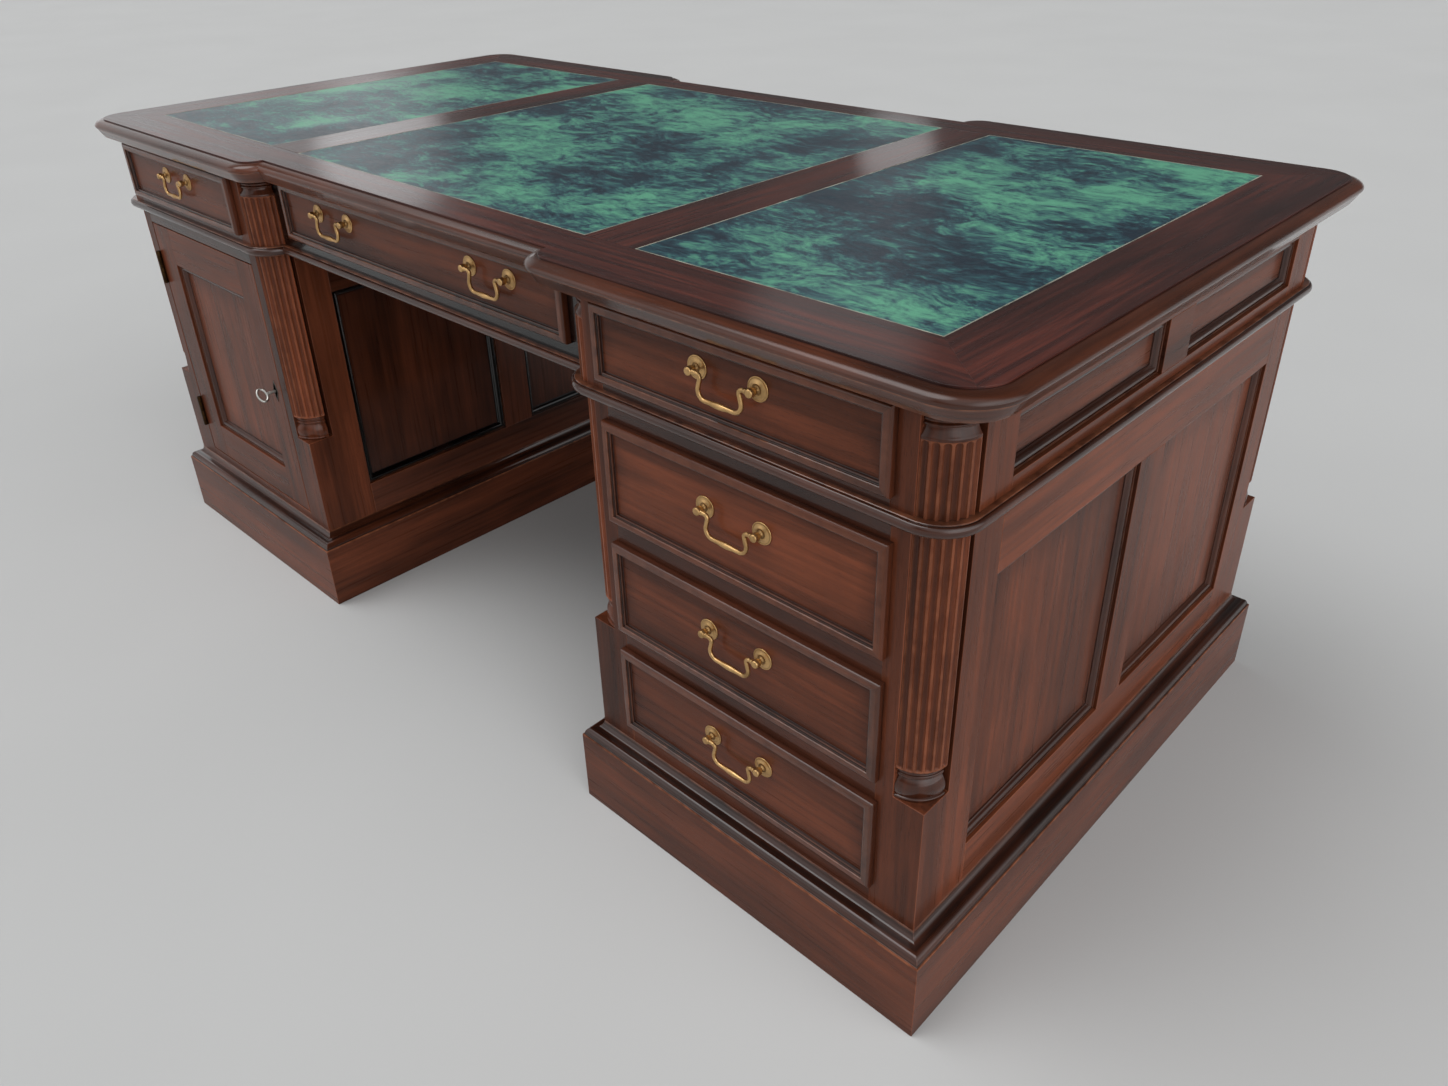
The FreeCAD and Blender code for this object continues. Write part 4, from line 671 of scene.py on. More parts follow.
def column(sizes, turning, shaft, stops):
    """A quarter column on the z axis, between +x and +y, in polar form: the radius is the turned profile
    less the flutes, half ellipses across that end in half rounds at the stops."""
    radius, width, depth = sizes.column_radius / MM, sizes.flute_width / MM / 2, sizes.flute_depth / MM
    stop_rows = np.linspace(0.0, width * 1.3, FLUTE_STEPS)
    stop_reach = width * 1.15
    low, high = shaft
    start = low + stop_rows if stops[0] else [low]
    end = high - stop_rows[::-1] if stops[1] else [high]
    plain = np.concatenate([start, end])
    profile = curve(turning, PROFILE_STEPS)
    below = profile[profile[:, 1] < low]
    above = profile[profile[:, 1] > high]
    z = np.concatenate([below[:, 1], plain, above[:, 1]])
    turned = np.concatenate([below[:, 0], np.full(len(plain), radius), above[:, 0]])
    pitch = np.pi / 2 / sizes.flutes
    across = -np.cos(np.linspace(0.0, np.pi, FLUTE_STEPS)) * width / radius
    middles = (np.arange(sizes.flutes) + 0.5) * pitch
    angle = np.concatenate([[0.0], (middles[:, None] + across).ravel(), [np.pi / 2]])
    side = (np.mod(angle, pitch) - pitch / 2) * radius
    past = np.zeros(len(z))
    if stops[0]:
        past = np.maximum(past, low + stop_reach - z)
    if stops[1]:
        past = np.maximum(past, z - high + stop_reach)
    reach = (side[None] ** 2 + past[:, None] ** 2) / width ** 2
    on_shaft = ((z >= low) & (z <= high))[:, None]
    hollow = np.sqrt(np.clip(1.0 - reach, 0.0, 1.0)) * on_shaft
    r = turned[:, None] - depth * hollow
    points = triples(r * np.cos(angle), r * np.sin(angle), z[:, None])
    points = np.concatenate([triples(0.0, 0.0, z)[:, None], points], axis=1) * MM
    # Wear paints the flutes' arrises and stops paler, partly as a highlight; grime paints shade in the
    # flutes' hollows and the turned grooves
    arris = np.exp(-((np.abs(side)[None] - width) / 0.7) ** 2) * on_shaft * (past[:, None] < width)
    rubbed_and_lit = np.exp(-(past[:, None] - width) ** 2 / 1.5) * on_shaft * (reach < 1.6)
    groove = np.gradient(np.gradient(turned)) > 0.25
    finish = np.zeros(points.shape)
    finish[:, 1:, 0] = np.clip(0.45 * arris + 0.8 * rubbed_and_lit, 0.0, 1.0)
    finish[:, 1:, 1] = np.clip(0.5 * hollow ** 2 + 0.8 * groove[:, None], 0.0, 1.0)
    finish[:, :, 2] = np.where(on_shaft, SHAFT_TONE, MOULDING * 0.6)
    arc_run = np.concatenate([[-0.02], angle * radius * MM, [0.08]])
    grain = triples(z[:, None] * MM, arc_run[None], 0.0)
    return grid(points, grain, finish, wrap_columns=True, caps=True)


class DESK_OT_columns(DeskOperator, bpy.types.Operator):
    """Fluted quarter columns: turned feet on the pedestals, turned caps on the frieze."""
    bl_idname = "desk.columns"
    bl_label = "Fluted quarter columns"

    def make(self, scene):
        lower = column(scene.desk_sizes, FOOT, (SHAFT_LOW, WAIST_LOW), (True, False))
        upper = column(scene.desk_sizes, CAP, (WAIST_LOW, CAP_LOW), (False, True))
        chance = np.random.default_rng(SEED)
        shapes = []
        for kind, half, depth in ((lower, HALF_PEDESTAL, PEDESTAL_Y), (upper, HALF_BLOCK, BLOCK_Y)):
            x, y = half - COLUMN_INSET, depth - COLUMN_INSET
            for middle in (-PEDESTAL_X, PEDESTAL_X):
                for turn, right, back in ((0, x, y), (90, -x, y), (180, -x, -y), (270, x, -y)):
                    shapes.append(placed(kind, turn, (middle + right, back, 0.0), chance))
        make_piece("fluted_columns", joined(shapes), ["corner_columns"], smooth=40.0)


class DESK_OT_waist(DeskOperator, bpy.types.Operator):
    """Bead between frieze and pedestals: a half round between two fillets, carried round the columns."""
    bl_idname = "desk.waist"
    bl_label = "Waist moulding"

    def section(self, out):
        """Distance out and height round the moulding, and the finish of each of its points."""
        fillet, bead_in, bead_half = 6.0, 6.4, 5.6
        angle = np.radians(np.linspace(-90.0, 90.0, WAIST_STEPS))
        across = bead_in + (out - bead_in) * np.cos(angle)
        bead = np.stack([across, WAIST_TALL / 2 + bead_half * np.sin(angle)], axis=-1)
        line = np.concatenate([[(-8.0, 0.0), (5.4, 0.0), (fillet, 0.5), (fillet, 1.2)], bead,
                               [(fillet, 12.8), (fillet, 13.5), (5.4, WAIST_TALL), (-8.0, WAIST_TALL)]])
        finish = np.zeros((len(line), 3)) + [0.0, 0.0, MOULDING]
        # Grime paints shade where the fillets meet the bead; wear paints the fillets' arrises paler, partly
        # as a highlight
        finish[[3, -4], 1] = 1.0
        finish[[4, -5], 1] = 0.8
        finish[[1, 2, -2, -3], 0] = 0.7
        return line, finish

    def make(self, scene):
        section, finish_line = self.section(scene.desk_sizes.waist_out / MM)
        wide = run(np.concatenate([section, section[:1]])) * MM

        def carried(line, normal):
            points = lifted(line[:, None] + section[None, :, :1] * normal[:, None],
                            (WAIST_LOW + section[:, 1])[None])
            grain = triples(run(line)[:, None] * MM, wide[None], 0.0)
            finish = np.broadcast_to(finish_line[None], points.shape)
            return grid(points, grain, finish, wrap_columns=True, caps=True)

        turns = [np.linspace(start, start + 90.0, WAIST_STEPS) for start in (180.0, 270.0, 0.0, 90.0)]
        angle = np.radians(np.concatenate(turns))
        facing = np.stack([np.cos(angle), np.sin(angle)], axis=-1)
        centre = CORNERS * (HALF_BLOCK - COLUMN_INSET, BLOCK_Y - COLUMN_INSET)
        path = np.repeat(centre, WAIST_STEPS, axis=0) + COLUMN_INSET * facing
        ring = placed(carried(path, facing), 0.0, (PEDESTAL_X, 0.0, 0.0))
        reach = BLOCK_IN - 4.0
        bar = carried(np.array([(-reach, -CENTRE_Y), (reach, -CENTRE_Y)]), np.array([(0.0, -1.0)] * 2))
        chance = np.random.default_rng(SEED)
        shapes = [placed(shape, turn, chance=chance) for shape in (ring, bar) for turn in (0.0, 180.0)]
        make_piece("waist_bead", joined(shapes), ["waist_moulding"])


class DESK_OT_skirting(DeskOperator, bpy.types.Operator):
    """Skirting round each pedestal: a plain face, a quirk, an ovolo and a cove, mitred at the corners."""
    bl_idname = "desk.skirting"
    bl_label = "Skirting"

    def make(self, scene):
        out = scene.desk_sizes.plinth_out / MM
        round_out = out - 2.5
        round_radius = 9.0
        ovolo = arc((round_out - round_radius, 113.0), round_radius, 0.0, 90.0, 10)
        turn = np.radians(np.linspace(6, 84, 8))
        cove = np.stack([9.2 * (1 - np.sin(turn)) + 0.4, SKIRTING_TALL - 11.0 * np.cos(turn)], axis=-1)
        plain = [(-1.0, 0.0), (out - 0.4, 0.0), (out, 0.6), (out, 22.0), (out, 82.0), (out, 108.5),
                 (out, 110.6), (out - 0.5, 111.6), (round_out + 0.2, 112.0)]
        section = np.concatenate([plain, ovolo, cove, [(0.2, SKIRTING_TALL), (-1.0, SKIRTING_TALL)]])
        level = np.zeros((len(section), 3))
        # Grime paints shade along the foot, in the quirk and at the cove; wear paints the edges below the
        # quirk and at the top paler, partly as a highlight
        level[[1, 2, 5, 6], 1] = 0.45
        level[[6, 7], 0] = 0.8
        level[8:, 2] = MOULDING
        level[[8, 9, 18, 19], 1] = 1.0
        level[-3:-1, 0] = 0.5
        places = CORNERS[None] * (np.array([HALF_PEDESTAL, PEDESTAL_Y]) + section[:, None, :1])
        shape = grid(lifted(places, section[:, 1:]), None, np.repeat(level[:, None], 4, axis=1),
                     wrap_rows=True, wrap_columns=True)
        place = shape.points[shape.faces[0]]
        side = (np.ptp(place[..., 0], axis=1) > 0.3)[:, None]
        along = np.where(side, place[..., 0], place[..., 1])
        across = place[..., 2] - np.abs(np.where(side, place[..., 1], place[..., 0]))
        shape.grain = [triples(along, across, side * 5.0)]
        chance = np.random.default_rng(SEED)
        for name, x, turn in (("left_skirting", -PEDESTAL_X, 180.0), ("right_skirting", PEDESTAL_X, 0.0)):
            ring = placed(shape, turn, (x, 0.0, 0.0), chance)
            piece = make_piece(name, ring, ["plinths"], finishes=["polished_mahogany", "worn_and_highlight_arris"])
            ease_edges(piece, SKIRTING_ARRIS, 60.0)


def stepped(table, left, right, low, high):
    """Stations of a face from a table of steps: distance in from its edges and distance to the front."""
    inset, out = table[:, 0], table[:, 1]
    return np.stack([left + inset, right - inset, low + inset, high - inset, out], axis=-1)


def sunk_panel(half_width, half_height, level_grain):
    """A sunk panel that faces the front, its frame's face on the origin: a fillet, a quirk, an ogee and the
    field, stepped inwards from the frame. Each step is distance in and out, wear, grime, which paints shade
    in the quirks and on the field's edge by the moulding, and tone."""
    ogee = curve([(4.2, -4.6), (6.6, -4.7), (9.2, -6.4), (10.6, -8.8), (11.8, -9.9)], PROFILE_STEPS)
    shaded = min(SHADED_EDGE, half_height - 17.0)
    # Grime paints shade where the moulding drops from the frame, in the quirk, and on the field's edge by
    # the moulding, fading over the shaded width
    steps = [(0.0, -18.0, 0, 0, 0), (0.0, -4.6, 0, 1, 0), (0.6, -4.0, 0.2, 0.6, MOULDING),
             (2.6, -4.0, 0.2, 0, MOULDING), (3.0, -4.4, 0.2, 0, MOULDING), (3.1, -6.0, 0, 1, MOULDING),
             (3.9, -6.0, 0, 1, MOULDING)]
    steps += [(inset, out, 0.0, 0.2, MOULDING) for inset, out in ogee]
    steps += [(12.0, -10.9, 0, 1, MOULDING), (13.4, -11.0, 0, 0.9, 0), (15.0, -11.0, 0, 0.45, 0),
              (14.0 + shaded, -11.0, 0, 0, 0)]
    table = np.array(steps, float)
    stations = stepped(table, -half_width, half_width, -half_height, half_height)
    return nested(stations, table[:, 2:], 2, level_grain)


class DESK_OT_panels(DeskOperator, bpy.types.Operator):
    """Sunk panels of the pedestal sides, the frieze ends and the doors, each inside its moulding."""
    bl_idname = "desk.panels"
    bl_label = "Sunk panels"

    def make(self, scene):
        chance = np.random.default_rng(SEED)
        tall = sunk_panel(SIDE_PANEL_HALF, SIDE_PANEL_TALL, False)
        short = sunk_panel(SIDE_PANEL_HALF, FRIEZE_PANEL_TALL, True)
        out, inner, block = PEDESTAL_X + HALF_PEDESTAL, PEDESTAL_X - HALF_PEDESTAL, PEDESTAL_X + HALF_BLOCK
        shapes = []
        for y in (-SIDE_PANEL_Y, SIDE_PANEL_Y):
            for sign, turn in ((1, 90.0), (-1, 270.0)):
                shapes.append(placed(tall, turn, (sign * out, y, SIDE_PANEL_Z), chance))
                # The panels facing into the knee hole are darker with painted shade
                shapes.append(placed(tall, turn, (-sign * inner, y, SIDE_PANEL_Z), chance, MOULDING * 0.6))
                shapes.append(placed(short, turn, (sign * block, y, FRIEZE_PANEL_Z), chance))
        make_piece("sunk_side_panels", joined(shapes), ["side_panels"], smooth=22.0)
        (left, right), (low, high) = DOOR_X, DOOR_Z
        door = sunk_panel((right - left) / 2 - DOOR_STILE, (high - low) / 2 - DOOR_RAIL, False)
        for side, turn, sign in SIDES:
            spot = (sign * (left + right) / 2, -sign * PEDESTAL_Y, (low + high) / 2)
            make_piece(side + "_door_sunk_panel", placed(door, turn, spot, chance), [side + "_door_panel"],
                       side + "_door", smooth=22.0)


class DESK_OT_drawer_fronts(DeskOperator, bpy.types.Operator):
    """Drawer fronts that lap over the case: a quarter round, a crest, a small step and a sunk field."""
    bl_idname = "desk.drawer_fronts"
    bl_label = "Drawer fronts"

    def make(self, scene):
        chance = np.random.default_rng(SEED)
        crest, lip = 4.6, MOULDING * 0.6
        # Grime paints shade at the edge against the case, in the quirks and on the field's edge by the
        # moulding; wear paints the crest and the step's edges paler, partly as a highlight
        steps = [(0.0, 0.3, 0, 1, 0), (0.0, 3.2, 0, 0.3, MOULDING * 0.4)]
        steps += [(crest * (1 - math.cos(a)), 5.4 + crest * math.sin(a), 0.2 * math.sin(a) ** 4, 0, lip)
                  for a in np.radians(np.linspace(0.0, 90.0, 8))]
        steps += [(8.8, 10.0, 0.2, 0, lip), (9.6, 9.8, 0.6, 0, MOULDING), (10.0, 9.2, 0.4, 0, MOULDING),
                  (10.1, 7.4, 0, 0.9, MOULDING), (10.6, 7.0, 0, 1, MOULDING),
                  (12.2, 7.0, 0.1, 0.1, MOULDING), (12.8, 6.6, 0.3, 0, MOULDING),
                  (13.0, 5.8, 0, 0.4, MOULDING), (13.2, 3.9, 0, 1, MOULDING),
                  (13.8, FIELD_OUT, 0, 1, 0), (15.0, FIELD_OUT, 0, 0.5, 0),
                  (13.0 + SHADED_EDGE * 0.7, FIELD_OUT, 0, 0, 0)]
        table = np.array(steps, float)
        finish = np.concatenate([np.zeros((2, 3)), table[:, 2:]])
        for side, half_turn, sign in SIDES:
            for name, x, half, low, high, face in DRAWERS:
                back = [(1.5 - half, half - 1.5, low + 0.3, high - 2.0, out) for out in (-14.0, 0.3)]
                worked = stepped(table, -half - LAP, half + LAP, low - LAP, high + LAP)
                board = nested(np.concatenate([back, worked]), finish, 2, True)
                shape = placed(board, half_turn, (sign * x, -sign * face, 0.0), chance)
                drawer = f"{side}_{name}_drawer"
                make_piece(drawer + "_front", shape, [drawer], drawer, smooth=25.0)


def handles():
    """Every handle: its drawer's name, its own name, its middle, its height and the drawer's field."""
    for name, x, _, low, high, face in DRAWERS:
        spots = (("", 0.0),) if name != "centre" else (("_left", -CENTRE_HANDLE), ("_right", CENTRE_HANDLE))
        for tag, offset in spots:
            yield name, name + tag, x + offset, (low + high) / 2 + HANDLE_RISE, face + FIELD_OUT


class DESK_OT_handle_posts(DeskOperator, bpy.types.Operator):
    """Turned posts of the handles, each on a rosette with rings."""
    bl_idname = "desk.handle_posts"
    bl_label = "Handle posts"

    def make(self, scene):
        rim = scene.desk_sizes.rosette / MM
        disc = [(rim - 0.3, 0.0, 0), (rim, 0.3, 0), (rim, 0.9, 0), (rim - 0.5, 1.35, 0),
                (rim - 1.1, 1.3, 0.2), (rim - 1.6, 1.1, 0.6), (rim - 2.4, 1.15, 0.2), (rim - 4.2, 1.6, 0),
                (rim - 5.6, 2.3, 0), (rim - 6.4, 2.8, 0), (rim - 7.2, 2.8, 0.3), (rim - 7.8, 2.4, 0.9),
                (rim - 8.6, 2.5, 1)]
        stem = [(3.6, 3.4, 0.8), (3.0, 4.8, 0.4), (2.9, 6.4, 0.4), (3.4, 7.2, 0.6), (4.5, 7.8, 0.1),
                (4.8, 8.4, 0)]
        head = [(4.8, 13.2, 0), (4.6, 14.2, 0), (3.9, 15.0, 0), (2.8, 15.4, 0), (1.4, 15.5, 0),
                (0.15, 15.5, 0)]
        profile = np.array(disc + stem + head)
        post = lathe(profile[:, :2], 40, profile[:, 2])
        for side, turn, _ in SIDES:
            posts = {}
            for drawer, _, x, z, field in handles():
                posts.setdefault(drawer, []).extend(
                    fitted(post, (spot, -field, z), turn) for spot in (x - HANDLE_HALF, x + HANDLE_HALF))
            for drawer, shapes in posts.items():
                node = f"{side}_{drawer}_posts"
                make_piece(node + "_turned", joined(shapes), [node], f"{side}_{drawer}_drawer",
                           ["aged_brass"], 50.0)


class DESK_OT_bails(DeskOperator, bpy.types.Operator):
    """Hanging grips of the handles: a wire along a swan-neck line, swollen in the middle like an olive."""
    bl_idname = "desk.bails"
    bl_label = "Handle bails"

    def make(self, scene):
        wire, olive = scene.desk_sizes.wire / MM, scene.desk_sizes.olive / MM
        neck_round, leg_run, bow_round, olive_half = 4.5, 8.5, 10.0, 15.0
        neck = arc((30.5, -neck_round), neck_round, 90.0, 195.0, 13)
        lean = math.radians(105.0)
        leg = neck[-1] + leg_run * np.array([-math.cos(lean), -math.sin(lean)])
        hub = (leg[0] - bow_round * math.sin(lean), leg[1] + bow_round * math.cos(lean))
        bow = arc(hub, bow_round, 15.0, -90.0, 17)
        straight = np.stack([np.linspace(bow[-1, 0], 0.0, 11)[1:], np.full(10, bow[-1, 1])], axis=-1)
        pin = [(41.0, 0.0), (40.6, 0.0), (36.0, 0.0), (35.6, 0.0), (35.2, 0.0), (33.6, 0.0), (33.0, 0.0)]
        half = np.concatenate([pin, neck, bow, straight])
        thick = np.full(len(half), wire)
        thick[:len(pin)] = (0.7, 1.15, 1.15, 1.15, wire + 0.45, wire + 0.45, wire)
        on_bottom = np.arange(len(half)) >= len(half) - 11
        swell = 0.5 + 0.5 * np.cos(np.pi * np.clip(np.abs(half[:, 0]) / olive_half, 0.0, 1.0))
        thick = np.where(on_bottom, wire + (olive - wire) * swell, thick)
        line = np.concatenate([half, half[-2::-1] * [-1, 1]])
        thick = np.concatenate([thick, thick[-2::-1]])
        path = triples(line[:, 0], 0.0, line[:, 1])
        shape = tube(path * MM, thick * MM, (0.0, 1.0, 0.0), 20)
        for side, turn, _ in SIDES:
            for _, name, x, z, field in handles():
                node = f"{side}_{name}_bail"
                hung = fitted(shape, (x, -field - PIVOT_OUT, z), turn)
                make_piece(node + "_wire", hung, [node], node, ["aged_brass"], 50.0)


class DESK_OT_hinges(DeskOperator, bpy.types.Operator):
    """Hinges of the doors: flat leaves and turned knuckles with tips."""
    bl_idname = "desk.hinges"
    bl_label = "Door hinges"

    def make(self, scene):
        half_height, leaf_width, groove = 30.0, 22.0, 3.4
        upright = np.array([[1.0, 0.0, 0.0], [0.0, 0.0, 1.0], [0.0, -1.0, 0.0]])
        barrel = np.array([(2.8, 0.0), (3.5, 0.3), (3.8, 0.9), (3.8, 9.2), (groove, 9.6), (groove, 10.2),
                           (3.8, 10.6), (3.8, 19.4), (groove, 19.8), (groove, 20.4), (3.8, 20.8),
                           (3.8, 28.9), (3.5, 29.5), (2.8, 29.7)])
        turned = lathe(barrel, 28, np.isclose(barrel[:, 0], groove) * 1.0)
        turned.points = turned.points @ upright.T

        def leaf(side):
            x = np.array([0.3, 1.5, 1.5, 0.3]) * side
            outline = np.stack([x, [0.0, 0.0, leaf_width, leaf_width]], axis=-1)
            return prism(outline, -half_height, half_height, 0)

        case_half = joined([placed(turned, 0.0, (0.0, 0.0, -half_height)), leaf(-1)])
        door_half = joined([placed(turned, 0.0, (0.0, 0.0, 0.3)), leaf(1)])
        spots = [(HINGE_X, HINGE_Y, z) for z in HINGE_Z]
        plates = []
        for side, turn, _ in SIDES:
            plates += [fitted(case_half, spot, turn) for spot in spots]
            doors = joined([fitted(door_half, spot, turn) for spot in spots])
            make_piece(side + "_hinge_leaves", doors, [side + "_door_hinges"], side + "_door",
                       ["dark_brass"])
        make_piece("hinge_case_leaves", joined(plates), ["hinge_plates"], "desk", ["dark_brass"])


class DESK_OT_locks(DeskOperator, bpy.types.Operator):
    """Locks, bolts and lozenge escutcheons of the doors."""
    bl_idname = "desk.locks"
    bl_label = "Door locks"

    def make(self, scene):
        half_width, half_height, hole = 7.5, 20.0, 3.3
        angle = around(96)
        lozenge = 1.0 / (np.abs(np.cos(angle)) / half_width + np.abs(np.sin(angle)) / half_height)
        share = np.array([(1.0, 0.0), (1.0, 0.35), (0.94, 0.75), (0.86, 0.8), (0.0, 0.8), (0.0, 0.0)])
        radius = hole + (lozenge[None] - hole) * share[:, :1]
        points = triples(radius * np.cos(angle), -share[:, 1:], radius * np.sin(angle)) * MM
        plate = grid(points, wrap_rows=True, wrap_columns=True)
        for side, turn, _ in SIDES:
            door = side + "_door"
            board_piece(side + "_lock_case", side + "_lock", door, ["lock_steel"], FINE_ARRIS)
            bolt = side + "_bolt"
            board_piece(bolt + "_bar", bolt, bolt, ["lock_steel"], BOLT_ARRIS)
            shown = fitted(plate, (KEY_X, -PEDESTAL_Y, KEY_Z), turn)
            make_piece(side + "_escutcheon", shown, [side + "_lock"], door, ["dark_brass"])


class DESK_OT_keys(DeskOperator, bpy.types.Operator):
    """Keys: a round shaft with collars, an oval bow of wire and a notched bit."""
    bl_idname = "desk.keys"
    bl_label = "Keys"

    def make(self, scene):
        shaft = np.array([(2.3, -31.4), (2.5, -31.0), (2.5, 10.0), (3.0, 10.4), (3.0, 11.4), (2.5, 11.8),
                          (2.5, 13.4), (3.1, 14.0), (3.1, 15.2), (2.2, 16.0)])
        angle = around(56)
        bow = triples(11.9 * np.cos(angle), -24.0 + 7.6 * np.sin(angle), 0.0)
        ring = tube(bow * MM, 2.05 * MM, (0.0, 0.0, 1.0), 16, closed=True)
        bit = prism(np.array([(0.0, 25.0), (9.0, 25.0), (9.0, 26.6), (6.6, 26.6), (6.6, 27.6), (9.0, 27.6),
                              (9.0, 30.0), (0.0, 30.0)]), -1.0, 1.0, 0)
        key = joined([lathe(shaft, 28), ring, bit])
        turn = math.radians(KEY_DEGREES)
        about = np.array([[math.cos(turn), 0.0, math.sin(turn)], [0.0, 1.0, 0.0],
                          [-math.sin(turn), 0.0, math.cos(turn)]])
        key.points = key.points @ about.T
        for side, half_turn, _ in SIDES:
            node = side + "_key"
            shape = fitted(key, (KEY_X, -PEDESTAL_Y, KEY_Z), half_turn)
            make_piece(node + "_turned", shape, [node], node, ["key_steel"], 40.0)


# Finishes

def feed(tree, node, inputs):
    """Links each named input of a node to a socket, or sets it to a value."""
    for key, value in inputs.items():
        if isinstance(value, bpy.types.NodeSocket):
            tree.links.new(value, node.inputs[key])
        else:
            node.inputs[key].default_value = value


def add(tree, kind, inputs=None, **settings):
    """A shader node with its settings, and with each input linked to a socket or set to a value."""
    made = tree.nodes.new("ShaderNode" + kind)
    for key, value in settings.items():
        setattr(made, key, value)
    feed(tree, made, inputs or {})
    return made


def mix(tree, factor, first, second):
    """A mix of two colours."""
    return add(tree, "Mix", {0: factor, 6: first, 7: second}, data_type="RGBA").outputs[2]


def span(tree, value, low, high, to_low=0.0, to_high=1.0, **settings):
    """A value carried from one range to another, held at its ends."""
    inputs = {"Value": value, 1: low, 2: high, 3: to_low, 4: to_high}
    return add(tree, "MapRange", inputs, **settings).outputs[0]


def sums(tree, kind, first, second):
    """Two values put together by plain arithmetic."""
    return add(tree, "Math", {0: first, 1: second}, operation=kind).outputs[0]


def noise(tree, vector, scale, detail, stretch=(1.0, 1.0, 1.0)):
    """Noise that is drawn out by its own factor on each axis."""
    drawn = add(tree, "VectorMath", {0: vector, 1: stretch}, operation="MULTIPLY").outputs[0]
    inputs = {"Vector": drawn, "Scale": scale, "Detail": detail, "Roughness": 0.55}
    return add(tree, "TexNoise", inputs).outputs[0]


def object_place(tree):
    """Places on an object, in metres."""
    return add(tree, "TexCoord").outputs["Object"]


def own(tree, name, socket="Vector"):
    """A value that the mesh carries."""
    return add(tree, "Attribute", attribute_name=name).outputs[socket]


def new_group(name, inputs, outputs):
    """A node group with named sockets; returns its tree, its input node and its output node."""
    tree = bpy.data.node_groups.new(name, "ShaderNodeTree")
    for sockets, way in ((inputs, "INPUT"), (outputs, "OUTPUT")):
        for label, kind in sockets:
            tree.interface.new_socket(label, in_out=way, socket_type="NodeSocket" + kind)
    return tree, tree.nodes.new("NodeGroupInput"), tree.nodes.new("NodeGroupOutput")


def timber_group():
    """Timber from a place in the board: slow figure and streaks along the grain, and short dark pores."""
    tree, inner, out = new_group(
        "timber",
        [("Grain", "Vector"), ("Tone", "Float"), ("Dark", "Color"), ("Mid", "Color"), ("Light", "Color")],
        [("Color", "Color"), ("Roughness", "Float"), ("Height", "Float")])
    grain, deep = inner.outputs["Grain"], inner.outputs["Dark"]
    figure = noise(tree, grain, 1.0, 3.0, (1.6, 17.0, 17.0))
    streak = noise(tree, grain, 1.0, 4.0, (5.0, 130.0, 130.0))
    fleck = noise(tree, grain, 1.0, 2.0, (70.0, 1400.0, 1400.0))
    blotch = noise(tree, grain, 1.0, 2.0, (7.0, 11.0, 11.0))
    light = sums(tree, "MULTIPLY", span(tree, streak, 0.42, 0.64), span(tree, figure, 0.32, 0.60))
    dark = sums(tree, "MULTIPLY", span(tree, figure, 0.54, 0.32, 0.0, 0.8),
                span(tree, streak, 0.64, 0.40, 0.35, 1.0))
    ground = mix(tree, light, inner.outputs["Mid"], inner.outputs["Light"])
    ground = mix(tree, dark, ground, deep)
    pore = span(tree, fleck, 0.60, 0.70)
    pored = mix(tree, sums(tree, "MULTIPLY", pore, 0.55), ground, deep)
    shade = sums(tree, "ADD", span(tree, blotch, 0.3, 0.7, 0.86, 1.14),
                 sums(tree, "MULTIPLY", inner.outputs["Tone"], 0.12))
    toned = add(tree, "VectorMath", {0: pored, "Scale": shade}, operation="SCALE").outputs[0]
    height = sums(tree, "SUBTRACT", sums(tree, "MULTIPLY", streak, 0.25), pore)
    rough = span(tree, streak, 0.3, 0.7, 0.25, 0.36)
    feed(tree, out, {"Color": toned, "Roughness": rough, "Height": height})
    return tree


def wear_group():
    """Edges rubbed pale, partly as a painted highlight, and grooves filled dark with grime and painted
    shade, broken up by noise, from a piece's own finish.
    """
    tree, inner, out = new_group(
        "wear", [("Color", "Color"), ("Finish", "Vector"), ("Worn and highlight", "Color"), ("Grime and shade", "Color")],
        [("Color", "Color")])
    parts = add(tree, "SeparateXYZ", {0: inner.outputs["Finish"]})
    broken = noise(tree, object_place(tree), 55.0, 3.0)
    # Pale rubbed edges that also paint highlights, and dark grooves of grime that also paint shade
    rubbed_and_lit = sums(tree, "MULTIPLY", parts.outputs[0], span(tree, broken, 0.34, 0.62, 0.12, 0.85))
    filled_and_shaded = sums(tree, "MULTIPLY", parts.outputs[1], span(tree, broken, 0.2, 0.7, 0.9, 0.5))
    dirty = mix(tree, filled_and_shaded, inner.outputs["Color"], inner.outputs["Grime and shade"])
    feed(tree, out, {"Color": mix(tree, rubbed_and_lit, dirty, inner.outputs["Worn and highlight"])})
    return tree


def new_material(name):
    """An empty material with its shader and output."""
    material = bpy.data.materials.new(name)
    material.use_nodes = True
    tree = material.node_tree
    tree.nodes.clear()
    shader = tree.nodes.new("ShaderNodeBsdfPrincipled")
    output = tree.nodes.new("ShaderNodeOutputMaterial")
    tree.links.new(shader.outputs[0], output.inputs[0])
    return tree, shader


def bump(tree, height, distance, strength):
    """A normal from a height."""
    return add(tree, "Bump", {"Height": height, "Distance": distance, "Strength": strength}).outputs[0]


def solid(shade, share=1.0):
    """A colour property as four numbers, lightened or darkened by a share."""
    return tuple(part * share for part in shade) + (1.0,)


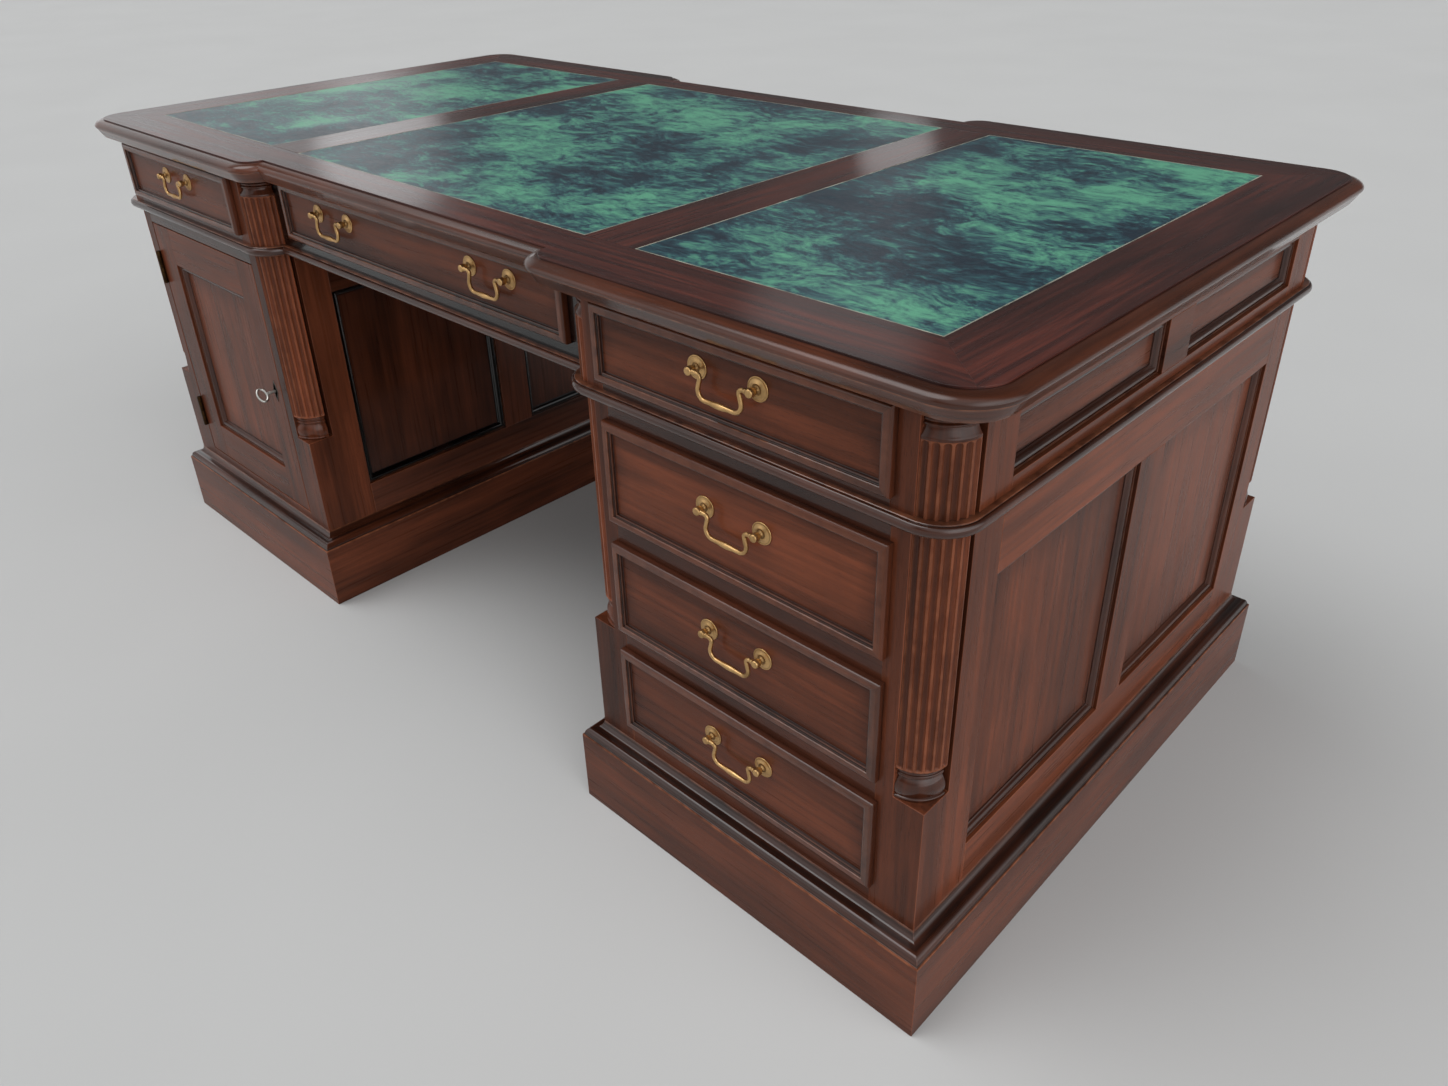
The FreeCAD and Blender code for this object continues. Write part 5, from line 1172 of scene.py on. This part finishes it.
def wood(name, groups, shades, worn_and_highlight, grime_and_shade, coat):
    """A polished timber from its dark, middle and light shades; the coat is full on the mouldings."""
    timber, wear = groups
    tree, shader = new_material(name)
    finish = own(tree, "finish")
    tone = add(tree, "SeparateXYZ", {0: finish}).outputs[2]
    # The tone takes in the painted shade of the boards' front and rear faces
    shaded = sums(tree, "ADD", tone, own(tree, "shade", "Fac"))
    inputs = {"Grain": own(tree, "grain"), "Tone": shaded, **dict(zip(("Dark", "Mid", "Light"), shades))}
    figure = add(tree, "Group", inputs, node_tree=timber)
    inputs = {"Color": figure.outputs["Color"], "Finish": finish, "Worn and highlight": worn_and_highlight, "Grime and shade": grime_and_shade}
    rubbed_and_lit = add(tree, "Group", inputs, node_tree=wear)
    feed(tree, shader, {
        "Base Color": rubbed_and_lit.outputs[0],
        "Roughness": figure.outputs["Roughness"],
        "Normal": bump(tree, figure.outputs["Height"], 0.00012, 0.6),
        "Coat Weight": span(tree, tone, MOULDING, -1.0, max(coat, 0.9), coat),
        "Specular IOR Level": 0.12, "Coat Roughness": 0.08, "Coat IOR": 1.5,
    })


def leather(colours):
    """Mottled leather: wide clouds, and wisps drawn out along the desk, over a fine pebbled grain."""
    tree, shader = new_material("writing_leather")
    place = object_place(tree)
    drift = add(tree, "TexNoise", {"Vector": place, "Scale": 9.0, "Detail": 2.0}).outputs["Color"]
    inputs = {0: drift, 1: (0.10, 0.06, 0.0), 2: place}
    bent = add(tree, "VectorMath", inputs, operation="MULTIPLY_ADD").outputs[0]
    drawn_out = (0.7, 1.3, 1.0)
    cloud = noise(tree, bent, 6.0, 4.0)
    wisp = noise(tree, bent, 66.0, 8.0, drawn_out)
    speck = noise(tree, bent, 190.0, 5.0, drawn_out)
    depth = sums(tree, "ADD", sums(tree, "MULTIPLY", cloud, 0.85), sums(tree, "MULTIPLY", wisp, 0.55))
    depth = sums(tree, "ADD", depth, span(tree, speck, 0.3, 0.7, -0.06, 0.06))
    base = mix(tree, span(tree, depth, 0.57, 0.70), solid(colours.leather_dark), solid(colours.leather_mid))
    base = mix(tree, span(tree, depth, 0.67, 0.86), base, solid(colours.leather_light))
    pebble = add(tree, "TexVoronoi", {"Vector": place, "Scale": 620.0}).outputs["Distance"]
    height = sums(tree, "SUBTRACT", sums(tree, "MULTIPLY", wisp, 0.6), pebble)
    feed(tree, shader, {
        "Base Color": base,
        "Roughness": span(tree, wisp, 0.3, 0.7, 0.30, 0.44),
        "Normal": bump(tree, height, 0.0002, 0.5),
        "Specular IOR Level": 0.5, "Coat Weight": 0.3, "Coat Roughness": 0.22,
    })


def metal(name, bright, dull, rough, scale):
    """Old metal: bright where it is handled, dull in its hollows and in soft patches."""
    tree, shader = new_material(name)
    place = object_place(tree)
    hollow = add(tree, "SeparateXYZ", {0: own(tree, "finish")}).outputs[1]
    patch = noise(tree, place, scale, 4.0)
    fine = noise(tree, place, scale * 14.0, 3.0)
    tarnish = sums(tree, "MAXIMUM", span(tree, patch, 0.42, 0.74, 0.05, 0.6),
                   sums(tree, "MULTIPLY", hollow, 0.85))
    uneven = sums(tree, "ADD", tarnish, fine)
    feed(tree, shader, {
        "Base Color": mix(tree, tarnish, bright, dull),
        "Roughness": span(tree, uneven, 0.3, 1.3, rough, rough + 0.28),
        "Normal": bump(tree, fine, 0.0001, 0.5),
        "Metallic": 1.0,
    })


def dappled(name, scale, detail, low, high, first, second, sockets):
    """A plain finish whose colour wanders between two shades; sockets are its shader's other values."""
    tree, shader = new_material(name)
    patch = span(tree, noise(tree, object_place(tree), scale, detail), low, high)
    feed(tree, shader, {"Base Color": mix(tree, patch, first, second), **sockets})


class DESK_OT_finishes(DeskOperator, bpy.types.Operator):
    """Materials: polished mahogany and its worn arrises, which also paint highlights, drawer lining,
    leather, tooling, brass and steel.
    """
    bl_idname = "desk.finishes"
    bl_label = "Finishes"

    def make(self, scene):
        c = scene.desk_colours
        groups = timber_group(), wear_group()
        worn_and_highlight, grime_and_shade = solid(c.worn_and_highlight), solid(c.grime_and_shade)
        dark, mid, light = solid(c.wood_dark), solid(c.wood_mid), solid(c.wood_light)
        top = solid(c.top_dark), solid(c.top_mid), solid(c.top_light)
        lining = solid(c.lining_light)
        wood("polished_mahogany", groups, (dark, mid, light), worn_and_highlight, grime_and_shade, 0.12)
        wood("top_veneer", groups, top, worn_and_highlight, grime_and_shade, 0.6)
        # Lighter arrises: polish rubbed through, and painted highlight
        wood("worn_and_highlight_arris", groups, (mid, light, worn_and_highlight), worn_and_highlight, grime_and_shade, 0.25)
        wood("drawer_lining", groups, (solid(c.lining_dark), lining, lining), worn_and_highlight, grime_and_shade, 0.0)
        leather(c)
        metal("aged_brass", solid(c.brass), solid(c.brass_dull), 0.26, 60.0)
        metal("dark_brass", solid(c.brass_dull, 0.4), grime_and_shade, 0.4, 90.0)
        metal("key_steel", solid(c.steel), solid(c.steel, 0.4), 0.22, 120.0)
        metal("lock_steel", solid(c.steel, 0.4), solid(c.steel, 0.15), 0.38, 90.0)
        pale = solid(c.tooling)
        dappled("tooled_line", 40.0, 4.0, 0.35, 0.65, solid(c.tooling, 0.35), pale, {"Roughness": 0.45})


class DESK_OT_stage(DeskOperator, bpy.types.Operator):
    """Pale floor, soft light and the camera."""
    bl_idname = "desk.stage"
    bl_label = "Stage"

    def make(self, scene):
        scene.view_settings.view_transform = "Standard"
        self.floor(scene)
        self.light(scene)
        self.camera(scene)

    def floor(self, scene):
        """A wide square floor under the desk."""
        ends = np.array([-FLOOR_REACH, FLOOR_REACH])
        x, y = np.meshgrid(ends, ends)
        mesh = bpy.data.meshes.new("floor")
        mesh.from_pydata(triples(x, y, 0.0).reshape(-1, 3).tolist(), [], quads(2, 2).tolist())
        shade = scene.desk_colours.floor
        dappled("studio_floor", 1.4, 2.0, 0.3, 0.7, solid(shade, 0.97), solid(shade),
                {"Roughness": 0.8, "Specular IOR Level": 0.2})
        mesh.materials.append(bpy.data.materials["studio_floor"])
        floor = bpy.data.objects.new("floor", mesh)
        scene.collection.objects.link(floor)

    def light(self, scene):
        """Soft boxes round the desk, each a glow about its direction that fades by smooth steps."""
        world = bpy.data.worlds.new("studio")
        scene.world = world
        world.use_nodes = True
        sky = world.node_tree
        direction = add(sky, "TexCoord").outputs["Generated"]
        level = BASE_LIGHT
        for aim, edge, full, strength in SOFT_BOXES:
            towards = (np.array(aim) / np.linalg.norm(aim)).tolist()
            facing = add(sky, "VectorMath", {0: direction, 1: towards}, operation="DOT_PRODUCT").outputs[1]
            glow = span(sky, facing, edge, full, 0.0, strength, interpolation_type="SMOOTHSTEP")
            level = sums(sky, "ADD", glow, level)
        feed(sky, sky.nodes["Background"], {"Color": LIGHT_COLOUR, "Strength": level})

    def camera(self, scene):
        """The camera where the photograph was taken."""
        lens = bpy.data.cameras.new("photo_view")
        for key, value in LENS.items():
            setattr(lens, key, value)
        eye = bpy.data.objects.new("photo_view", lens)
        scene.collection.objects.link(eye)
        stand = np.eye(4)
        stand[:3] = np.stack([EYE_RIGHT, -EYE_DOWN, -EYE_AHEAD, EYE_PLACE], axis=1)
        eye.matrix_world = stand.T.tolist()
        scene.camera = eye


class DESK_PT_pieces(bpy.types.Panel):
    """Sidebar panel with the desk's pieces, sizes and colours."""
    bl_idname = "DESK_PT_pieces"
    bl_label = "Partners desk"
    bl_space_type = "VIEW_3D"
    bl_region_type = "UI"
    bl_category = "Desk"

    def draw(self, context):
        for operator in OPERATORS:
            self.layout.operator(operator.bl_idname)
        for group in (context.scene.desk_sizes, context.scene.desk_colours):
            for key in group.__annotations__:
                self.layout.prop(group, key)


OPERATORS = (
    DESK_OT_finishes, DESK_OT_top_edge, DESK_OT_top_boards, DESK_OT_leathers, DESK_OT_carcase,
    DESK_OT_columns, DESK_OT_waist, DESK_OT_skirting, DESK_OT_panels, DESK_OT_drawer_fronts,
    DESK_OT_handle_posts, DESK_OT_bails, DESK_OT_hinges, DESK_OT_locks, DESK_OT_keys, DESK_OT_stage,
)
CLASSES = (DeskSizes, DeskColours) + OPERATORS + (DESK_PT_pieces,)


def register():
    """Registers the classes and hangs the sizes and colours on the scene."""
    for kind in CLASSES:
        bpy.utils.register_class(kind)
    bpy.types.Scene.desk_sizes = PointerProperty(type=DeskSizes)
    bpy.types.Scene.desk_colours = PointerProperty(type=DeskColours)


def unregister():
    """Takes the sizes, the colours and the classes away again."""
    del bpy.types.Scene.desk_colours
    del bpy.types.Scene.desk_sizes
    for kind in reversed(CLASSES):
        bpy.utils.unregister_class(kind)


def main():
    """Makes the finishes and the pieces in order."""
    register()
    for operator in OPERATORS:
        group, name = operator.bl_idname.split(".")
        getattr(getattr(bpy.ops, group), name)()


if __name__ == "__main__":
    main()
